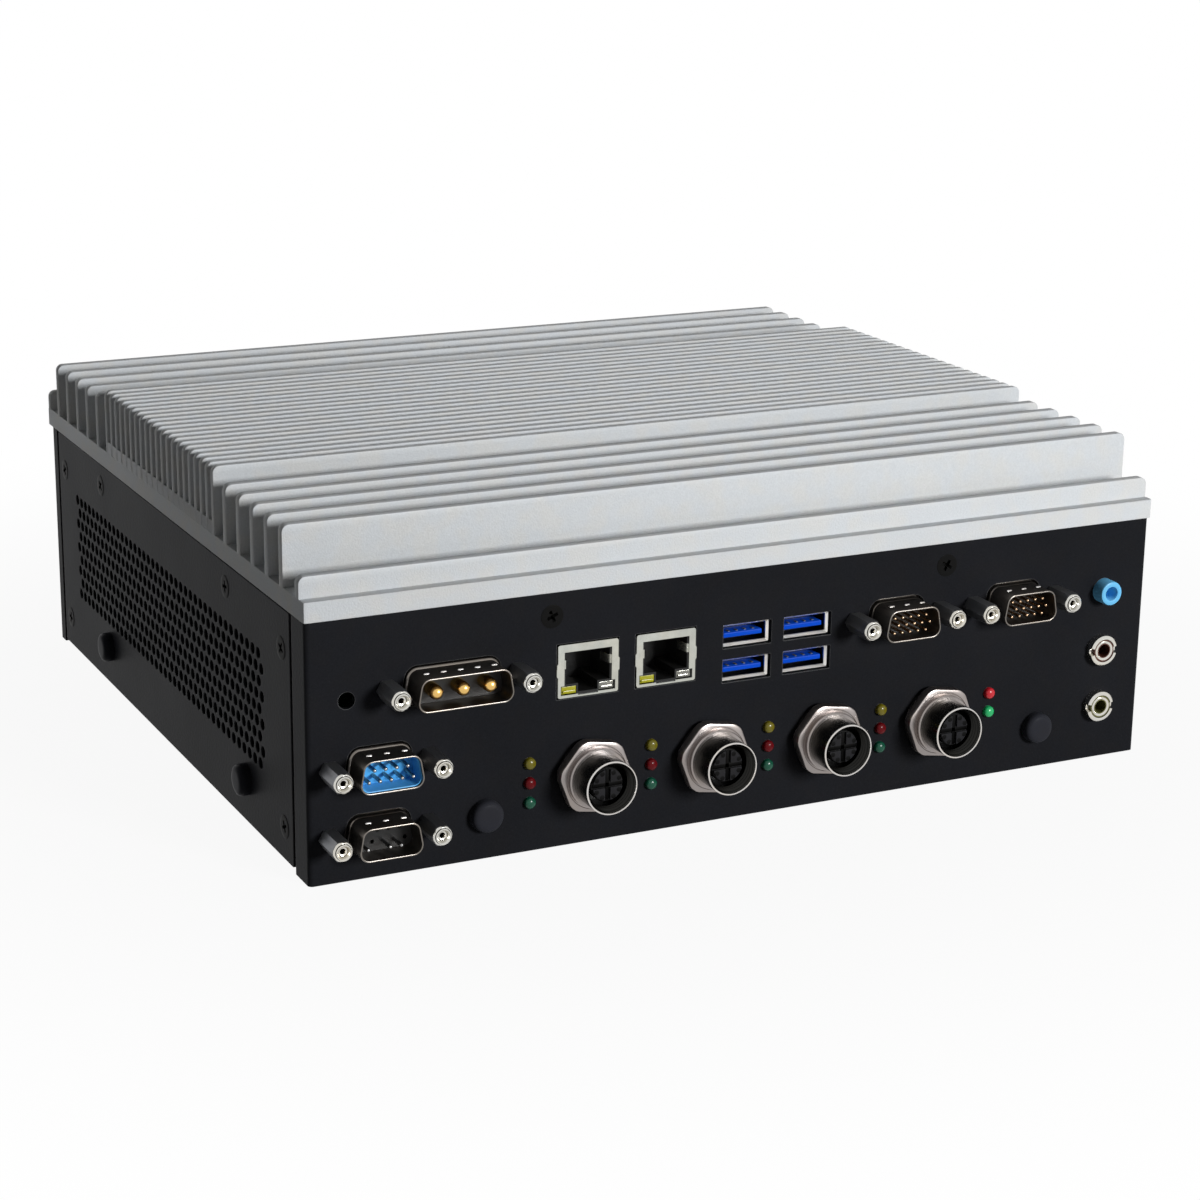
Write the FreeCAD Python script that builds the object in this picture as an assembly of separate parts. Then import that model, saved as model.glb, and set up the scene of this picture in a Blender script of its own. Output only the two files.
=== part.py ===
import FreeCAD, Part

import math
import os

# Fanless industrial computer: a finned aluminium extrusion closes a box of folded
# steel sheet, with all the connectors in the front panel.
#
# Frame: millimetres, +Z up, +X to the right as seen from the front, +Y from front to
# rear. The origin is the centre of the underside. Distances called "across" are taken
# from the left edge of the front panel, "up" from the underside and "deep" from the
# front face.

V = FreeCAD.Vector
os.makedirs("parts", exist_ok=True)

# ---------------------------------------------------------------------------
# Driving dimensions
# ---------------------------------------------------------------------------

# Sheet metal
SHEET = 1.5             # thickness of every panel
SEAM = 0.3              # gap between two sheets that butt together
BEND = 1.2              # outside radius of the folds beside the front and rear faces
FRONT_RETURN = 9.0      # side returns of the front panel, from its face
REAR_RETURN = 5.0       # side returns of the rear panel, from its face
SIDE_GAP = 1.5          # open joint between a return and the side panel
FOOT_FLANGE = 8.0       # bottom flanges of the front and rear panels, from their faces
TRAY_WALL = 17.0        # height of the bottom tray's side walls
SIDE_LIFT = 1.0         # lower edge of the side panels above the underside
SIDE_DROP = 0.5         # upper edge of the side panels below the heat sink

# Heat sink extrusion
SINK_BASE = 5.0         # thickness of its base
SINK_SIDE_LIP = 0.4     # how far it passes the body at each side
SINK_FRONT_LIP = 0.5    # how far it passes the front face
SINK_REAR_LIP = 2.5     # how far it passes the rear face
FIN_CORNER = 1.8        # radius of the fins' upper end corners
EDGE_RIB = 2.6          # thickness of the low rib along the front and rear edges
EDGE_RIB_HEIGHT = 5.3   # height of that rib above the base
EDGE_RIB_SETBACK = 2.6  # front rib's face behind the front face
EDGE_RIB_REAR = 0.9     # base left behind the rear rib
WIDE_COUNT = 5          # thick fins in front of and behind the fine ones
WIDE_FIN = 2.6
WIDE_PITCH = 10.1
WIDE_HEIGHT = 15.0
FIRST_FIN = 14.5        # centre of the first thick fin behind the front face
LAST_FIN = 9.5          # centre of the last thick fin before the rear face
FINE_COUNT = 21
FINE_FIN = 1.9
FINE_PITCH = 4.6
FINE_HEIGHT = 17.5
FINE_FLOOR = 3.2        # floor between the fine fins above the base
BLOCK_GAP = 9.1         # last thick fin to first fine fin, centre to centre
RAIL_DROP = 10.0        # rails under the base
EDGE_RAIL = 7.0         # thickness of the rails behind the front and rear panels
SIDE_RAIL = 8.0         # thickness of the rails whose ends hold the side panels
FRONT_SIDE_RAIL = 57.0  # centre of the first side rail behind the front face
REAR_SIDE_RAIL = 49.5   # centre of the second side rail before the rear face

# Small turned pieces
SIDES = 8               # screws, shanks, stems and lights have few sides, so they stay light

# Screws
SCREW = 3.0             # thread diameter
SCREW_HEAD = 5.8        # countersunk head
SCREW_LENGTH = 7.0
COVER_SCREW_DROP = 6.0  # screws through front and rear panel, below the heat sink
COVER_SCREW_LEFT = 62.5     # across
COVER_SCREW_RIGHT = 173.5   # across
RAIL_SCREW_DROP = 6.6   # side screws in the side rails, below the heat sink
EAR_SCREW_DROP = 10.6   # side screws in the ears, below the heat sink
TRAY_SCREW_RISE = 9.5   # side screws in the tray wall
SIDE_SCREW_SETBACK = 5.9    # corner side screws from the side panel's upright edges
FOOT_SCREW_INSET = 28.0     # foot flange screws from the panel's sides
FOOT_SCREW_LENGTH = 5.0
EAR = 10.0              # width of the ears spot-welded inside the returns

# Perforated field of the side panels
VENT_FRONT = 31.0       # first hole, deep
VENT_REAR = 25.5        # last hole before the rear face
VENT_LOW = 20.1         # lowest row, up
VENT_TOP = 16.7         # highest row below the heat sink
VENT_ROWS = 5
VENT_COLUMNS = 19
VENT_FLATS = 4.9        # across the flats of a six-sided hole

# Hole plugs
PLUG_HEAD = 8.2
PLUG_RISE = 3.0         # how far the head stands out
PLUG_BEVEL = 1.0
PLUG_STEM = 6.4
PLUG_GRIP = 1.5         # stem behind the sheet
SIDE_PLUG_UP = 12.3
SIDE_PLUG_FRONT = 44.0  # deep
SIDE_PLUG_REAR = 53.5   # before the rear face
FRONT_PLUG_UP = 11.3

# D-shaped connectors
D_NARROW_SHELL = 16.9   # widest side of a small shell
D_WIDE_SHELL = 25.25    # widest side of the power shell
D_HEIGHT = 8.36
D_SLANT = 10.0          # lean of the two short sides, degrees
D_CORNER = 2.5
D_WALL = 0.5
D_REACH = 8.5           # shell in front of the panel
D_COLLAR = 0.6          # rounded root of the shell, all round
D_COLLAR_REACH = 0.9
D_FLOOR = 6.0           # depth of the pin cavity
D_FLANGE_SIDE = 6.95    # flange beyond the shell at each side
D_FLANGE_HEIGHT = 12.5
D_FLANGE = 0.8
D_BACKING = 3.0         # moulded flange behind the shell's flange
D_SCREW_SIDE = 4.05     # jackscrew axis beyond the shell's widest side
PIN = 1.0
PIN_PITCH = 2.77
PIN_ROW = 2.84
FINE_PIN = 0.76
FINE_PIN_PITCH = 2.29
FINE_PIN_ROW = 1.98
POWER_PIN = 3.5
POWER_PIN_PITCH = 6.86
PIN_SHY = 0.8           # pin tips behind the shell's rim
PIN_HOLE_DEPTH = 4.0    # contact holes that hold no pin

# Jackscrews
JACK_HEX = 4.8          # across flats
JACK_REACH = 10.0       # in front of the panel
JACK_THREAD = 2.8
JACK_SHANK = 5.0        # behind the panel's face

# Network jacks
LAN_WIDTH = 16.2
LAN_HEIGHT = 13.5
LAN_DEPTH = 16.0
LAN_PROUD = 0.4         # in front of the panel
LAN_SKIN = 0.4
LAN_OPEN = 11.8         # width of the cavity
LAN_OPEN_LOW = 3.4      # cavity floor above the jack's underside
LAN_OPEN_TOP = 1.6      # cavity ceiling below the jack's top
LAN_NOTCH = 5.2         # latch notch under the cavity
LAN_NOTCH_LOW = 1.2
LAN_CAVITY = 11.5
LAN_LIGHT = 4.0
LAN_LIGHT_HEIGHT = 2.1
LAN_LIGHT_LOW = 0.7
LAN_LIGHT_DEPTH = 5.0
LAN_FOOT = 2.7          # plinth under the jack
CONTACT = 0.5           # width of a contact wire
CONTACT_PITCH = 1.02
CONTACT_RUN = 7.0       # how far the wires reach forward along the ceiling
CONTACT_DROP = 4.0      # how far they drop at the back of the cavity

# USB ports
USB_WIDTH = 13.1
USB_HEIGHT = 5.6
USB_SKIN = 0.35
USB_SHY = 1.0           # shell rim behind the panel's face
USB_NECK = 6.0          # separate tubes in front of the common rear housing
USB_DEPTH = 17.0
USB_CAVITY = 9.0
USB_TONGUE = 10.9
USB_TONGUE_THICK = 1.3
USB_TONGUE_DROP = 0.45  # tongue's axis below the shell's axis
USB_TONGUE_REACH = 7.6

# Round sockets
M12_BARREL = 13.6
M12_REACH = 12.3        # in front of the panel
M12_COLLAR = 15.5
M12_COLLAR_DEPTH = 1.5
M12_HEX = 18.0          # across flats
M12_HEX_DEPTH = 3.0
M12_TURN = 43.0         # the hexagon's turn about its axis, degrees
M12_GASKET = 0.8
M12_GASKET_OUT = 17.4
M12_BORE = 12.0
M12_SHANK = 9.0         # threaded shank behind the panel's face
M12_NUT = 3.0
M12_CORE = 8.6          # contact carrier inside the bore
M12_CORE_SHY = 4.6      # its face behind the rim
M12_BACK = 5.0          # depth of the open ring round the carrier
M12_SHIELD = 0.6        # thickness of the shield cross
M12_SHIELD_PROUD = 0.3

# Status lights
LIGHT = 3.0
LIGHT_RISE = 0.9        # straight part in front of the panel
LIGHT_PITCH = 5.05
LIGHT_TIP = 1.4         # diameter of the tapered tip
LIGHT_TAPER = 0.8

# Audio jacks
AUDIO_BORE = 3.5
AUDIO_BORE_DEPTH = 12.0
AUDIO_BARREL = 6.5      # plain barrel of the top jack
AUDIO_TOP_REACH = 4.0
AUDIO_THREAD = 6.0      # threaded barrel of the two others
AUDIO_REACH = 2.2
AUDIO_NUT = 8.2
AUDIO_NUT_DEPTH = 2.5
AUDIO_NUT_SLOT = 1.0
AUDIO_BODY = 9.0        # square body behind the panel

# Clearances
WINDOW_PLAY = 0.25      # round anything that passes through a window in a panel
HOLE_PLAY = 0.1         # on the radius of a round hole for a shank

# Boards and what they carry
BOARD = 1.6
BOARD_TOP = 35.3        # main board's upper face, up
BOARD_FRONT = 2.5       # its front edge, deep
BOARD_REAR = 22.0       # its rear edge before the rear face
BOARD_EDGE_GAP = 2.0    # main board to the upright wings of the port board
PORT_BOARD_DEEP = 12.0  # face of the upright board behind the ports, deep
PORT_BOARD_LOW = 5.0
PORT_BOARD_GAP = 1.2    # its top edge below the main board
WING_LEFT = 56.6        # right edge of its left wing, across
WING_RIGHT = 7.0        # its right wing, each side of the audio jacks
WING_TOP = 6.5          # wings above the upper connectors' axis
PROCESSOR = 37.5
PROCESSOR_HEIGHT = 4.0
HEAT_BLOCK = 62.0
DRIVE = [70.0, 100.0, 7.0]
DRIVE_LIFT = 3.0        # drive above the tray, on its four feet
DRIVE_FOOT = 6.0
STANDOFF = 6.0          # across flats
STANDOFF_INSET = 8.0    # from the board's edges
NUT_FLATS = 8.0         # weld nuts for mounting brackets
NUT_DEPTH = 4.0
NUT_BORE = 3.3
BRACKET_X = 160.0       # spacing of the bracket nuts
BRACKET_Y = 120.0

# Places of the connectors: across
POWER_ACROSS = 36.8
SERIAL_ACROSS = 18.1
BUS_ACROSS = 17.7
POWER_TO_LAN = 35.3
LAN_PITCH = 21.1
LAN_TO_USB = 22.7
USB_PITCH = 17.1
USB_TO_IO = 26.15
IO_PITCH = 35.2
IO_TO_AUDIO = 28.4
AUDIO_TO_EDGE = 13.25
POWER_TO_M12 = 36.3
M12_PITCH = 32.9
M12_COUNT = 4
LIGHT_TO_LEFT_PLUG = 11.6
LIGHT_TO_RIGHT_PLUG = 15.2
RIGHT_PLUG_TO_AUDIO = 19.3
SPARE_ACROSS = 10.0     # small open hole
SPARE_HOLE = 4.2

# Places of the connectors: up
BUS_UP = 11.5
SERIAL_RISE = 16.7
POWER_RISE = 18.1
M12_UP = 17.9
LIGHT_MID_UP = 17.7
IO_RISE = 12.0          # above the main board
USB_RISE = 3.65
USB_STACK = 8.9
AUDIO_LOW_UP = 14.8
AUDIO_MID_RISE = 15.6
AUDIO_TOP_RISE = 16.2
SPARE_UP = 45.0
HEADROOM = 7.7          # upper connectors' axis to the rails above

# ---------------------------------------------------------------------------
# Values that follow from them
# ---------------------------------------------------------------------------

io_up = BOARD_TOP + IO_RISE
height = io_up + HEADROOM + RAIL_DROP
wide_span = (WIDE_COUNT - 1) * WIDE_PITCH
fine_span = (FINE_COUNT - 1) * FINE_PITCH
depth = FIRST_FIN + 2 * (wide_span + BLOCK_GAP) + fine_span + LAST_FIN

lan_across = POWER_ACROSS + POWER_TO_LAN
usb_across = lan_across + LAN_PITCH + LAN_TO_USB
io_across = usb_across + USB_PITCH + USB_TO_IO
m12_across = POWER_ACROSS + POWER_TO_M12
first_light = m12_across - M12_PITCH / 2
last_light = first_light + M12_COUNT * M12_PITCH
left_plug = first_light - LIGHT_TO_LEFT_PLUG
right_plug = last_light + LIGHT_TO_RIGHT_PLUG
audio_across = max(io_across + IO_PITCH + IO_TO_AUDIO, right_plug + RIGHT_PLUG_TO_AUDIO)
width = audio_across + AUDIO_TO_EDGE

left = -width / 2
right = width / 2
front = -depth / 2
rear = depth / 2
inner = width / 2 - SHEET

serial_up = BUS_UP + SERIAL_RISE
power_up = serial_up + POWER_RISE
audio_ups = [AUDIO_LOW_UP, AUDIO_LOW_UP + AUDIO_MID_RISE, AUDIO_LOW_UP + AUDIO_MID_RISE + AUDIO_TOP_RISE]
light_ups = [LIGHT_MID_UP + LIGHT_PITCH, LIGHT_MID_UP, LIGHT_MID_UP - LIGHT_PITCH]
port_board_face = front + PORT_BOARD_DEEP
lan_low = BOARD_TOP + LAN_FOOT


# ---------------------------------------------------------------------------
# Shape helpers
# ---------------------------------------------------------------------------

def box(x0, x1, y0, y1, z0, z1):
    """A block between two corners."""
    return Part.makeBox(x1 - x0, y1 - y0, z1 - z0, V(x0, y0, z0))


def rod(diameter, x, z, y0, y1):
    """A round bar along Y."""
    return Part.makeCylinder(diameter / 2, y1 - y0, V(x, y0, z), V(0, 1, 0))


def ring(outside, inside, x, z, y0, y1):
    """A round tube along Y."""
    return rod(outside, x, z, y0, y1).cut(rod(inside, x, z, y0, y1))


def turned(place, axis, stations):
    """A small turned piece with few sides, from (distance along the axis, diameter) stations."""
    angles = [math.pi * (2 * i + 1) / SIDES for i in range(SIDES)]
    rings = [[V(wide / 2 * math.cos(a), wide / 2 * math.sin(a), distance) for a in angles]
             for distance, wide in stations]
    faces = [Part.Face(Part.makePolygon(corners + corners[:1])) for corners in (rings[0], rings[-1])]
    for near, far in zip(rings, rings[1:]):
        for i in range(SIDES):
            faces.append(Part.Face(Part.makePolygon([near[i - 1], near[i], far[i], far[i - 1], near[i - 1]])))
    piece = Part.makeSolid(Part.makeShell(faces))
    piece.Placement = FreeCAD.Placement(place, FreeCAD.Rotation(V(0, 0, 1), axis))
    return piece


def peg(diameter, x, z, y0, y1):
    """A small round bar along Y with few sides."""
    return turned(V(x, y0, z), V(0, 1, 0), [(0, diameter), (y1 - y0, diameter)])


def fuse(shapes):
    """One solid out of several that touch."""
    shapes = list(shapes)
    if len(shapes) == 1:
        return shapes[0]
    return shapes[0].multiFuse(shapes[1:]).removeSplitter()


def cut(shape, tools):
    """The shape less every tool."""
    tools = list(tools)
    return shape.cut(tools).removeSplitter() if tools else shape


def prism(points, y0, y1, corner=0.0):
    """A bar along Y with a polygon of (x, z) points as its section, its corners rounded."""
    edges = []
    count = len(points)
    ends = []
    for i in range(count):
        here = V(points[i][0], y0, points[i][1])
        before = V(points[i - 1][0], y0, points[i - 1][1]) - here
        after = V(points[(i + 1) % count][0], y0, points[(i + 1) % count][1]) - here
        half = before.getAngle(after) / 2
        before.normalize()
        after.normalize()
        trim = corner / math.tan(half)
        middle = (before + after).normalize() * (corner / math.sin(half) - corner)
        ends.append((here + before * trim, here + middle, here + after * trim))
    for i in range(count):
        start, middle, end = ends[i]
        if corner > 0:
            edges.append(Part.Arc(start, middle, end).toShape())
        edges.append(Part.LineSegment(end, ends[(i + 1) % count][0]).toShape())
    return Part.Face(Part.Wire(edges)).extrude(V(0, y1 - y0, 0))


def hexagon(flats, x, z, turn=0.0):
    """The (x, z) corners of a hexagon, a flat on top unless it is turned."""
    reach = flats / math.sqrt(3)
    angles = [math.radians(turn + 60 * i) for i in range(6)]
    return [(x + reach * math.cos(a), z + reach * math.sin(a)) for a in angles]


def post(flats, x, y, z0, z1):
    """An upright hexagonal post."""
    corners = [V(px, py, z0) for px, py in hexagon(flats, x, y)]
    return Part.Face(Part.makePolygon(corners + corners[:1])).extrude(V(0, 0, z1 - z0))


def mirror_x(shape):
    """The same piece on the other side."""
    return shape.mirror(V(0, 0, 0), V(1, 0, 0))


def export(name, shape):
    """Write one node; a list becomes a group of separate solids."""
    if isinstance(shape, list):
        shape = Part.makeCompound(shape)
    shape.exportStep("parts/" + name + ".step")


# ---------------------------------------------------------------------------
# Screws and the holes that take them
# ---------------------------------------------------------------------------

def countersunk_screw(place, inward, length=SCREW_LENGTH):
    """A flat-head screw whose head is flush at its place, driven along inward."""
    head_depth = (SCREW_HEAD - SCREW) / 2
    return turned(place, inward, [(0, SCREW_HEAD), (head_depth, SCREW), (length, SCREW)])


def cover_screw_places():
    """Front panel screws that pull the panel against the heat sink's edge rail."""
    up = height - COVER_SCREW_DROP
    return [V(left + across, front, up) for across in (COVER_SCREW_LEFT, COVER_SCREW_RIGHT)]


def side_screw_places():
    """Left panel screws: two in ears, two in the tray wall and two in the side rails."""
    near = front + FRONT_RETURN + SIDE_GAP + SIDE_SCREW_SETBACK
    far = rear - REAR_RETURN - SIDE_GAP - SIDE_SCREW_SETBACK
    places = [V(left, y, z) for y in (near, far) for z in (height - EAR_SCREW_DROP, TRAY_SCREW_RISE)]
    places += [V(left, front + FRONT_SIDE_RAIL, height - RAIL_SCREW_DROP),
               V(left, rear - REAR_SIDE_RAIL, height - RAIL_SCREW_DROP)]
    return places


def foot_screw_places():
    """Screws from below that clamp the foot flanges to the tray's raised lips."""
    inset = (SHEET + FOOT_FLANGE) / 2
    return [V(x, y, 0) for x in (left + FOOT_SCREW_INSET, right - FOOT_SCREW_INSET)
            for y in (front + inset, rear - inset)]


front_screws = [countersunk_screw(p, V(0, 1, 0)) for p in cover_screw_places()]
rear_screws = [countersunk_screw(V(p.x, rear, p.z), V(0, -1, 0)) for p in cover_screw_places()]
left_screws = [countersunk_screw(p, V(1, 0, 0)) for p in side_screw_places()]
right_screws = [mirror_x(s) for s in left_screws]
foot_screws = [countersunk_screw(p, V(0, 0, 1), FOOT_SCREW_LENGTH) for p in foot_screw_places()]
all_screws = front_screws + rear_screws + left_screws + right_screws + foot_screws


# ---------------------------------------------------------------------------
# Heat sink
# ---------------------------------------------------------------------------

def fin_list():
    """Every fin from front to rear: (centre, thickness, top, floor behind it)."""
    deck = height + SINK_BASE
    wide_top = deck + WIDE_HEIGHT
    rib_top = deck + EDGE_RIB_HEIGHT
    first_fine = front + FIRST_FIN + wide_span + BLOCK_GAP
    fins = [(front + EDGE_RIB_SETBACK + EDGE_RIB / 2, EDGE_RIB, rib_top, deck)]
    for i in range(WIDE_COUNT):
        fins.append((front + FIRST_FIN + i * WIDE_PITCH, WIDE_FIN, wide_top, deck))
    for i in range(FINE_COUNT):
        floor = deck + FINE_FLOOR if i < FINE_COUNT - 1 else deck
        fins.append((first_fine + i * FINE_PITCH, FINE_FIN, deck + FINE_HEIGHT, floor))
    for i in range(WIDE_COUNT):
        fins.append((first_fine + fine_span + BLOCK_GAP + i * WIDE_PITCH, WIDE_FIN, wide_top, deck))
    rear_rib = rear + SINK_REAR_LIP - EDGE_RIB_REAR - EDGE_RIB / 2
    fins.append((rear_rib, EDGE_RIB, rib_top, deck))
    return fins


def rail_list():
    """The rails under the base from rear to front: (front face, rear face, end at each side)."""
    edge_end = inner - SHEET - SEAM
    side = SIDE_RAIL / 2
    return [(rear - SHEET - EDGE_RAIL, rear - SHEET, edge_end),
            (rear - REAR_SIDE_RAIL - side, rear - REAR_SIDE_RAIL + side, inner),
            (front + FRONT_SIDE_RAIL - side, front + FRONT_SIDE_RAIL + side, inner),
            (front + SHEET, front + SHEET + EDGE_RAIL, edge_end)]


def sink_section():
    """The extruded outline as (y, z) points."""
    deck = height + SINK_BASE
    points = [(front - SINK_FRONT_LIP, height), (front - SINK_FRONT_LIP, deck)]
    floor = deck
    for centre, thickness, top, next_floor in fin_list():
        points += [(centre - thickness / 2, floor), (centre - thickness / 2, top),
                   (centre + thickness / 2, top), (centre + thickness / 2, next_floor)]
        floor = next_floor
    points += [(rear + SINK_REAR_LIP, deck), (rear + SINK_REAR_LIP, height)]
    for near, far, _ in rail_list():
        points += [(far, height), (far, height - RAIL_DROP), (near, height - RAIL_DROP), (near, height)]
    return points


def fin_envelope(y0, y1, top):
    """The space that fins of one height fill, with rounded upper end corners."""
    half = width / 2 + SINK_SIDE_LIP
    low = height - RAIL_DROP
    foot = box(-half, half, y0, y1, low, top - FIN_CORNER)
    crown = box(-half + FIN_CORNER, half - FIN_CORNER, y0, y1, low, top)
    rounds = [rod(2 * FIN_CORNER, x, top - FIN_CORNER, y0, y1)
              for x in (-half + FIN_CORNER, half - FIN_CORNER)]
    return fuse([foot, crown] + rounds)


def make_heatsink():
    half = width / 2 + SINK_SIDE_LIP
    section = [V(-half, y, z) for y, z in sink_section()]
    body = Part.Face(Part.makePolygon(section + section[:1])).extrude(V(2 * half, 0, 0))
    deck = height + SINK_BASE
    rib = front + (EDGE_RIB_SETBACK + EDGE_RIB + FIRST_FIN - WIDE_FIN / 2) / 2
    block = front + FIRST_FIN + wide_span + BLOCK_GAP / 2
    block_end = block + fine_span + BLOCK_GAP
    rear_rib = block_end + BLOCK_GAP / 2 + wide_span + WIDE_PITCH / 2
    groups = [(front - SINK_FRONT_LIP, rib, EDGE_RIB_HEIGHT), (rib, block, WIDE_HEIGHT),
              (block, block_end, FINE_HEIGHT), (block_end, rear_rib, WIDE_HEIGHT),
              (rear_rib, rear + SINK_REAR_LIP, EDGE_RIB_HEIGHT)]
    body = body.common(fuse([fin_envelope(y0, y1, deck + rise) for y0, y1, rise in groups]))
    trims = []
    for near, far, end in rail_list():
        trims += [box(x0, x1, near, far, height - RAIL_DROP, height) for x0, x1 in ((-half, -end), (end, half))]
    return cut(body, trims + front_screws + rear_screws + left_screws + right_screws)


# ---------------------------------------------------------------------------
# Sheet metal
# ---------------------------------------------------------------------------

def folded_panel(side_return):
    """A face with side returns and a foot flange, in the front panel's place."""
    block = box(left, right, front, front + side_return, 0, height)
    face_edges = [e for e in block.Edges if e.CenterOfMass.y < front + BEND]
    folds = [e for e in face_edges if abs(e.CenterOfMass.x) > inner]
    block = block.makeFillet(BEND, folds)
    block = block.cut(box(-inner, inner, front + SHEET, front + side_return, 0, height))
    foot = box(-inner, inner, front + SHEET, front + FOOT_FLANGE, 0, SHEET)
    reach = side_return + SIDE_GAP + SIDE_SCREW_SETBACK + EAR / 2
    up = height - EAR_SCREW_DROP
    ears = [box(x0, x1, front + SHEET, front + reach, up - EAR / 2, up + EAR / 2)
            for x0, x1 in ((-inner, -inner + SHEET), (inner - SHEET, inner))]
    return fuse([block, foot] + ears)


def make_rear_panel():
    panel = folded_panel(REAR_RETURN).mirror(V(0, 0, 0), V(0, 1, 0))
    return cut(panel, rear_screws + left_screws + right_screws + foot_screws)


def vent_tools():
    """Staggered six-sided holes over the perforated field of the left panel."""
    row_step = (height - VENT_TOP - VENT_LOW) / (VENT_ROWS - 1)
    step = (depth - VENT_FRONT - VENT_REAR) / (VENT_COLUMNS - 0.5)
    tools = []
    for row in range(VENT_ROWS):
        shift = step / 2 * (row % 2)
        for column in range(VENT_COLUMNS):
            y = front + VENT_FRONT + shift + column * step
            z = VENT_LOW + row * row_step
            corners = [V(left, py, pz) for pz, py in hexagon(VENT_FLATS, z, y)]
            tools.append(Part.Face(Part.makePolygon(corners + corners[:1])).extrude(V(SHEET, 0, 0)))
    return tools


def side_plug_places():
    return [V(left, y, SIDE_PLUG_UP) for y in (front + SIDE_PLUG_FRONT, rear - SIDE_PLUG_REAR)]


def plug_stem(place, inward, length):
    """The stem of a hole plug, and the hole that takes it."""
    return turned(place, inward, [(0, PLUG_STEM), (length, PLUG_STEM)])


def make_left_panel():
    y0 = front + FRONT_RETURN + SIDE_GAP
    y1 = rear - REAR_RETURN - SIDE_GAP
    sheet = box(left, left + SHEET, y0, y1, SIDE_LIFT, height - SIDE_DROP)
    sockets = [plug_stem(p, V(1, 0, 0), SHEET) for p in side_plug_places()]
    return cut(sheet, vent_tools() + sockets + left_screws)


def bracket_places():
    return [V(x, y, 0) for x in (-BRACKET_X / 2, BRACKET_X / 2) for y in (-BRACKET_Y / 2, BRACKET_Y / 2)]


def make_tray():
    """Flush bottom, two side walls and two raised lips that lap over the foot flanges."""
    y0 = front + FOOT_FLANGE + SEAM
    y1 = rear - FOOT_FLANGE - SEAM
    lip0 = front + SHEET + SEAM
    lip1 = rear - SHEET - SEAM
    section = [(y0, 0), (y1, 0), (y1, SHEET), (lip1, SHEET), (lip1, 2 * SHEET),
               (y1 - SHEET, 2 * SHEET), (y1 - SHEET, SHEET), (y0 + SHEET, SHEET),
               (y0 + SHEET, 2 * SHEET), (lip0, 2 * SHEET), (lip0, SHEET), (y0, SHEET)]
    points = [V(-inner, y, z) for y, z in section]
    floor = Part.Face(Part.makePolygon(points + points[:1])).extrude(V(2 * inner, 0, 0))
    walls = [box(x0, x1, y0, y1, 0, TRAY_WALL) for x0, x1 in ((-inner, -inner + SHEET), (inner - SHEET, inner))]
    sockets = [Part.makeCylinder(NUT_BORE / 2, SHEET, p, V(0, 0, 1)) for p in bracket_places()]
    plugs = [plug_stem(p, V(1, 0, 0), 2 * SHEET) for p in side_plug_places()]
    plugs += [mirror_x(p) for p in plugs]
    return cut(fuse([floor] + walls), sockets + plugs + left_screws + right_screws + foot_screws)


def hole_plug(place, inward):
    """A plastic plug with a bevelled head, its stem pushed through a round hole."""
    head = PLUG_HEAD / 2
    base = PLUG_RISE - PLUG_BEVEL
    disc = Part.makeCylinder(head, base, place, -inward)
    bevel = Part.makeCone(head, head - PLUG_BEVEL, PLUG_BEVEL, place - inward * base, -inward)
    return disc.fuse([bevel, plug_stem(place, inward, SHEET + PLUG_GRIP)])


def bracket_nut(place):
    """A hexagonal weld nut on the inside of the tray."""
    body = post(NUT_FLATS, place.x, place.y, SHEET, SHEET + NUT_DEPTH)
    return body.cut(Part.makeCylinder(NUT_BORE / 2, SHEET + NUT_DEPTH, place))


# ---------------------------------------------------------------------------
# D-shaped connectors
# ---------------------------------------------------------------------------

def d_outline(across, up, wide, grow=0.0):
    """Corners of a D shape, its wide side down, grown by the same amount all round."""
    half = D_HEIGHT / 2 + grow
    lean = math.tan(math.radians(D_SLANT))
    middle = wide / 2 - D_HEIGHT / 2 * lean + grow / math.cos(math.radians(D_SLANT))
    x = left + across
    return [(x - middle - half * lean, up - half), (x + middle + half * lean, up - half),
            (x + middle - half * lean, up + half), (x - middle + half * lean, up + half)]


def d_bar(across, up, wide, y0, y1, grow=0.0):
    """A bar along Y with that D shape as its section."""
    return prism(d_outline(across, up, wide, grow), y0, y1, D_CORNER + grow)


def jackscrew_places(across, up, wide):
    reach = wide / 2 + D_SCREW_SIDE
    return [(left + across - reach, up), (left + across + reach, up)]


def d_flange(across, up, wide, y0, y1):
    """The oblong flange with its two screw holes."""
    half = wide / 2 + D_FLANGE_SIDE
    x = left + across
    plate = box(x - half, x + half, y0, y1, up - D_FLANGE_HEIGHT / 2, up + D_FLANGE_HEIGHT / 2)
    return cut(plate, [peg(JACK_THREAD, sx, sz, y0, y1) for sx, sz in jackscrew_places(across, up, wide)])


def d_shell(across, up, wide):
    """Drawn metal shell: flange behind the panel, rounded root and a tube in front."""
    back = front + SHEET
    flange = d_flange(across, up, wide, back, back + D_FLANGE)
    root = d_bar(across, up, wide, front - D_COLLAR_REACH, back, D_COLLAR)
    tube = d_bar(across, up, wide, front - D_REACH, back)
    hollow = d_bar(across, up, wide, front - D_REACH, back + D_FLANGE, -D_WALL)
    return cut(fuse([flange, root, tube]), [hollow])


def d_insert(across, up, wide, rear_block, holes):
    """Moulded pin carrier: fills the shell, with a flange and a rear block behind it."""
    behind = front + SHEET + D_FLANGE
    core = d_bar(across, up, wide, front - D_REACH + D_FLOOR, behind, -D_WALL)
    flange = d_flange(across, up, wide, behind, behind + D_BACKING)
    return cut(fuse([core, flange, rear_block]), holes)


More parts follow.
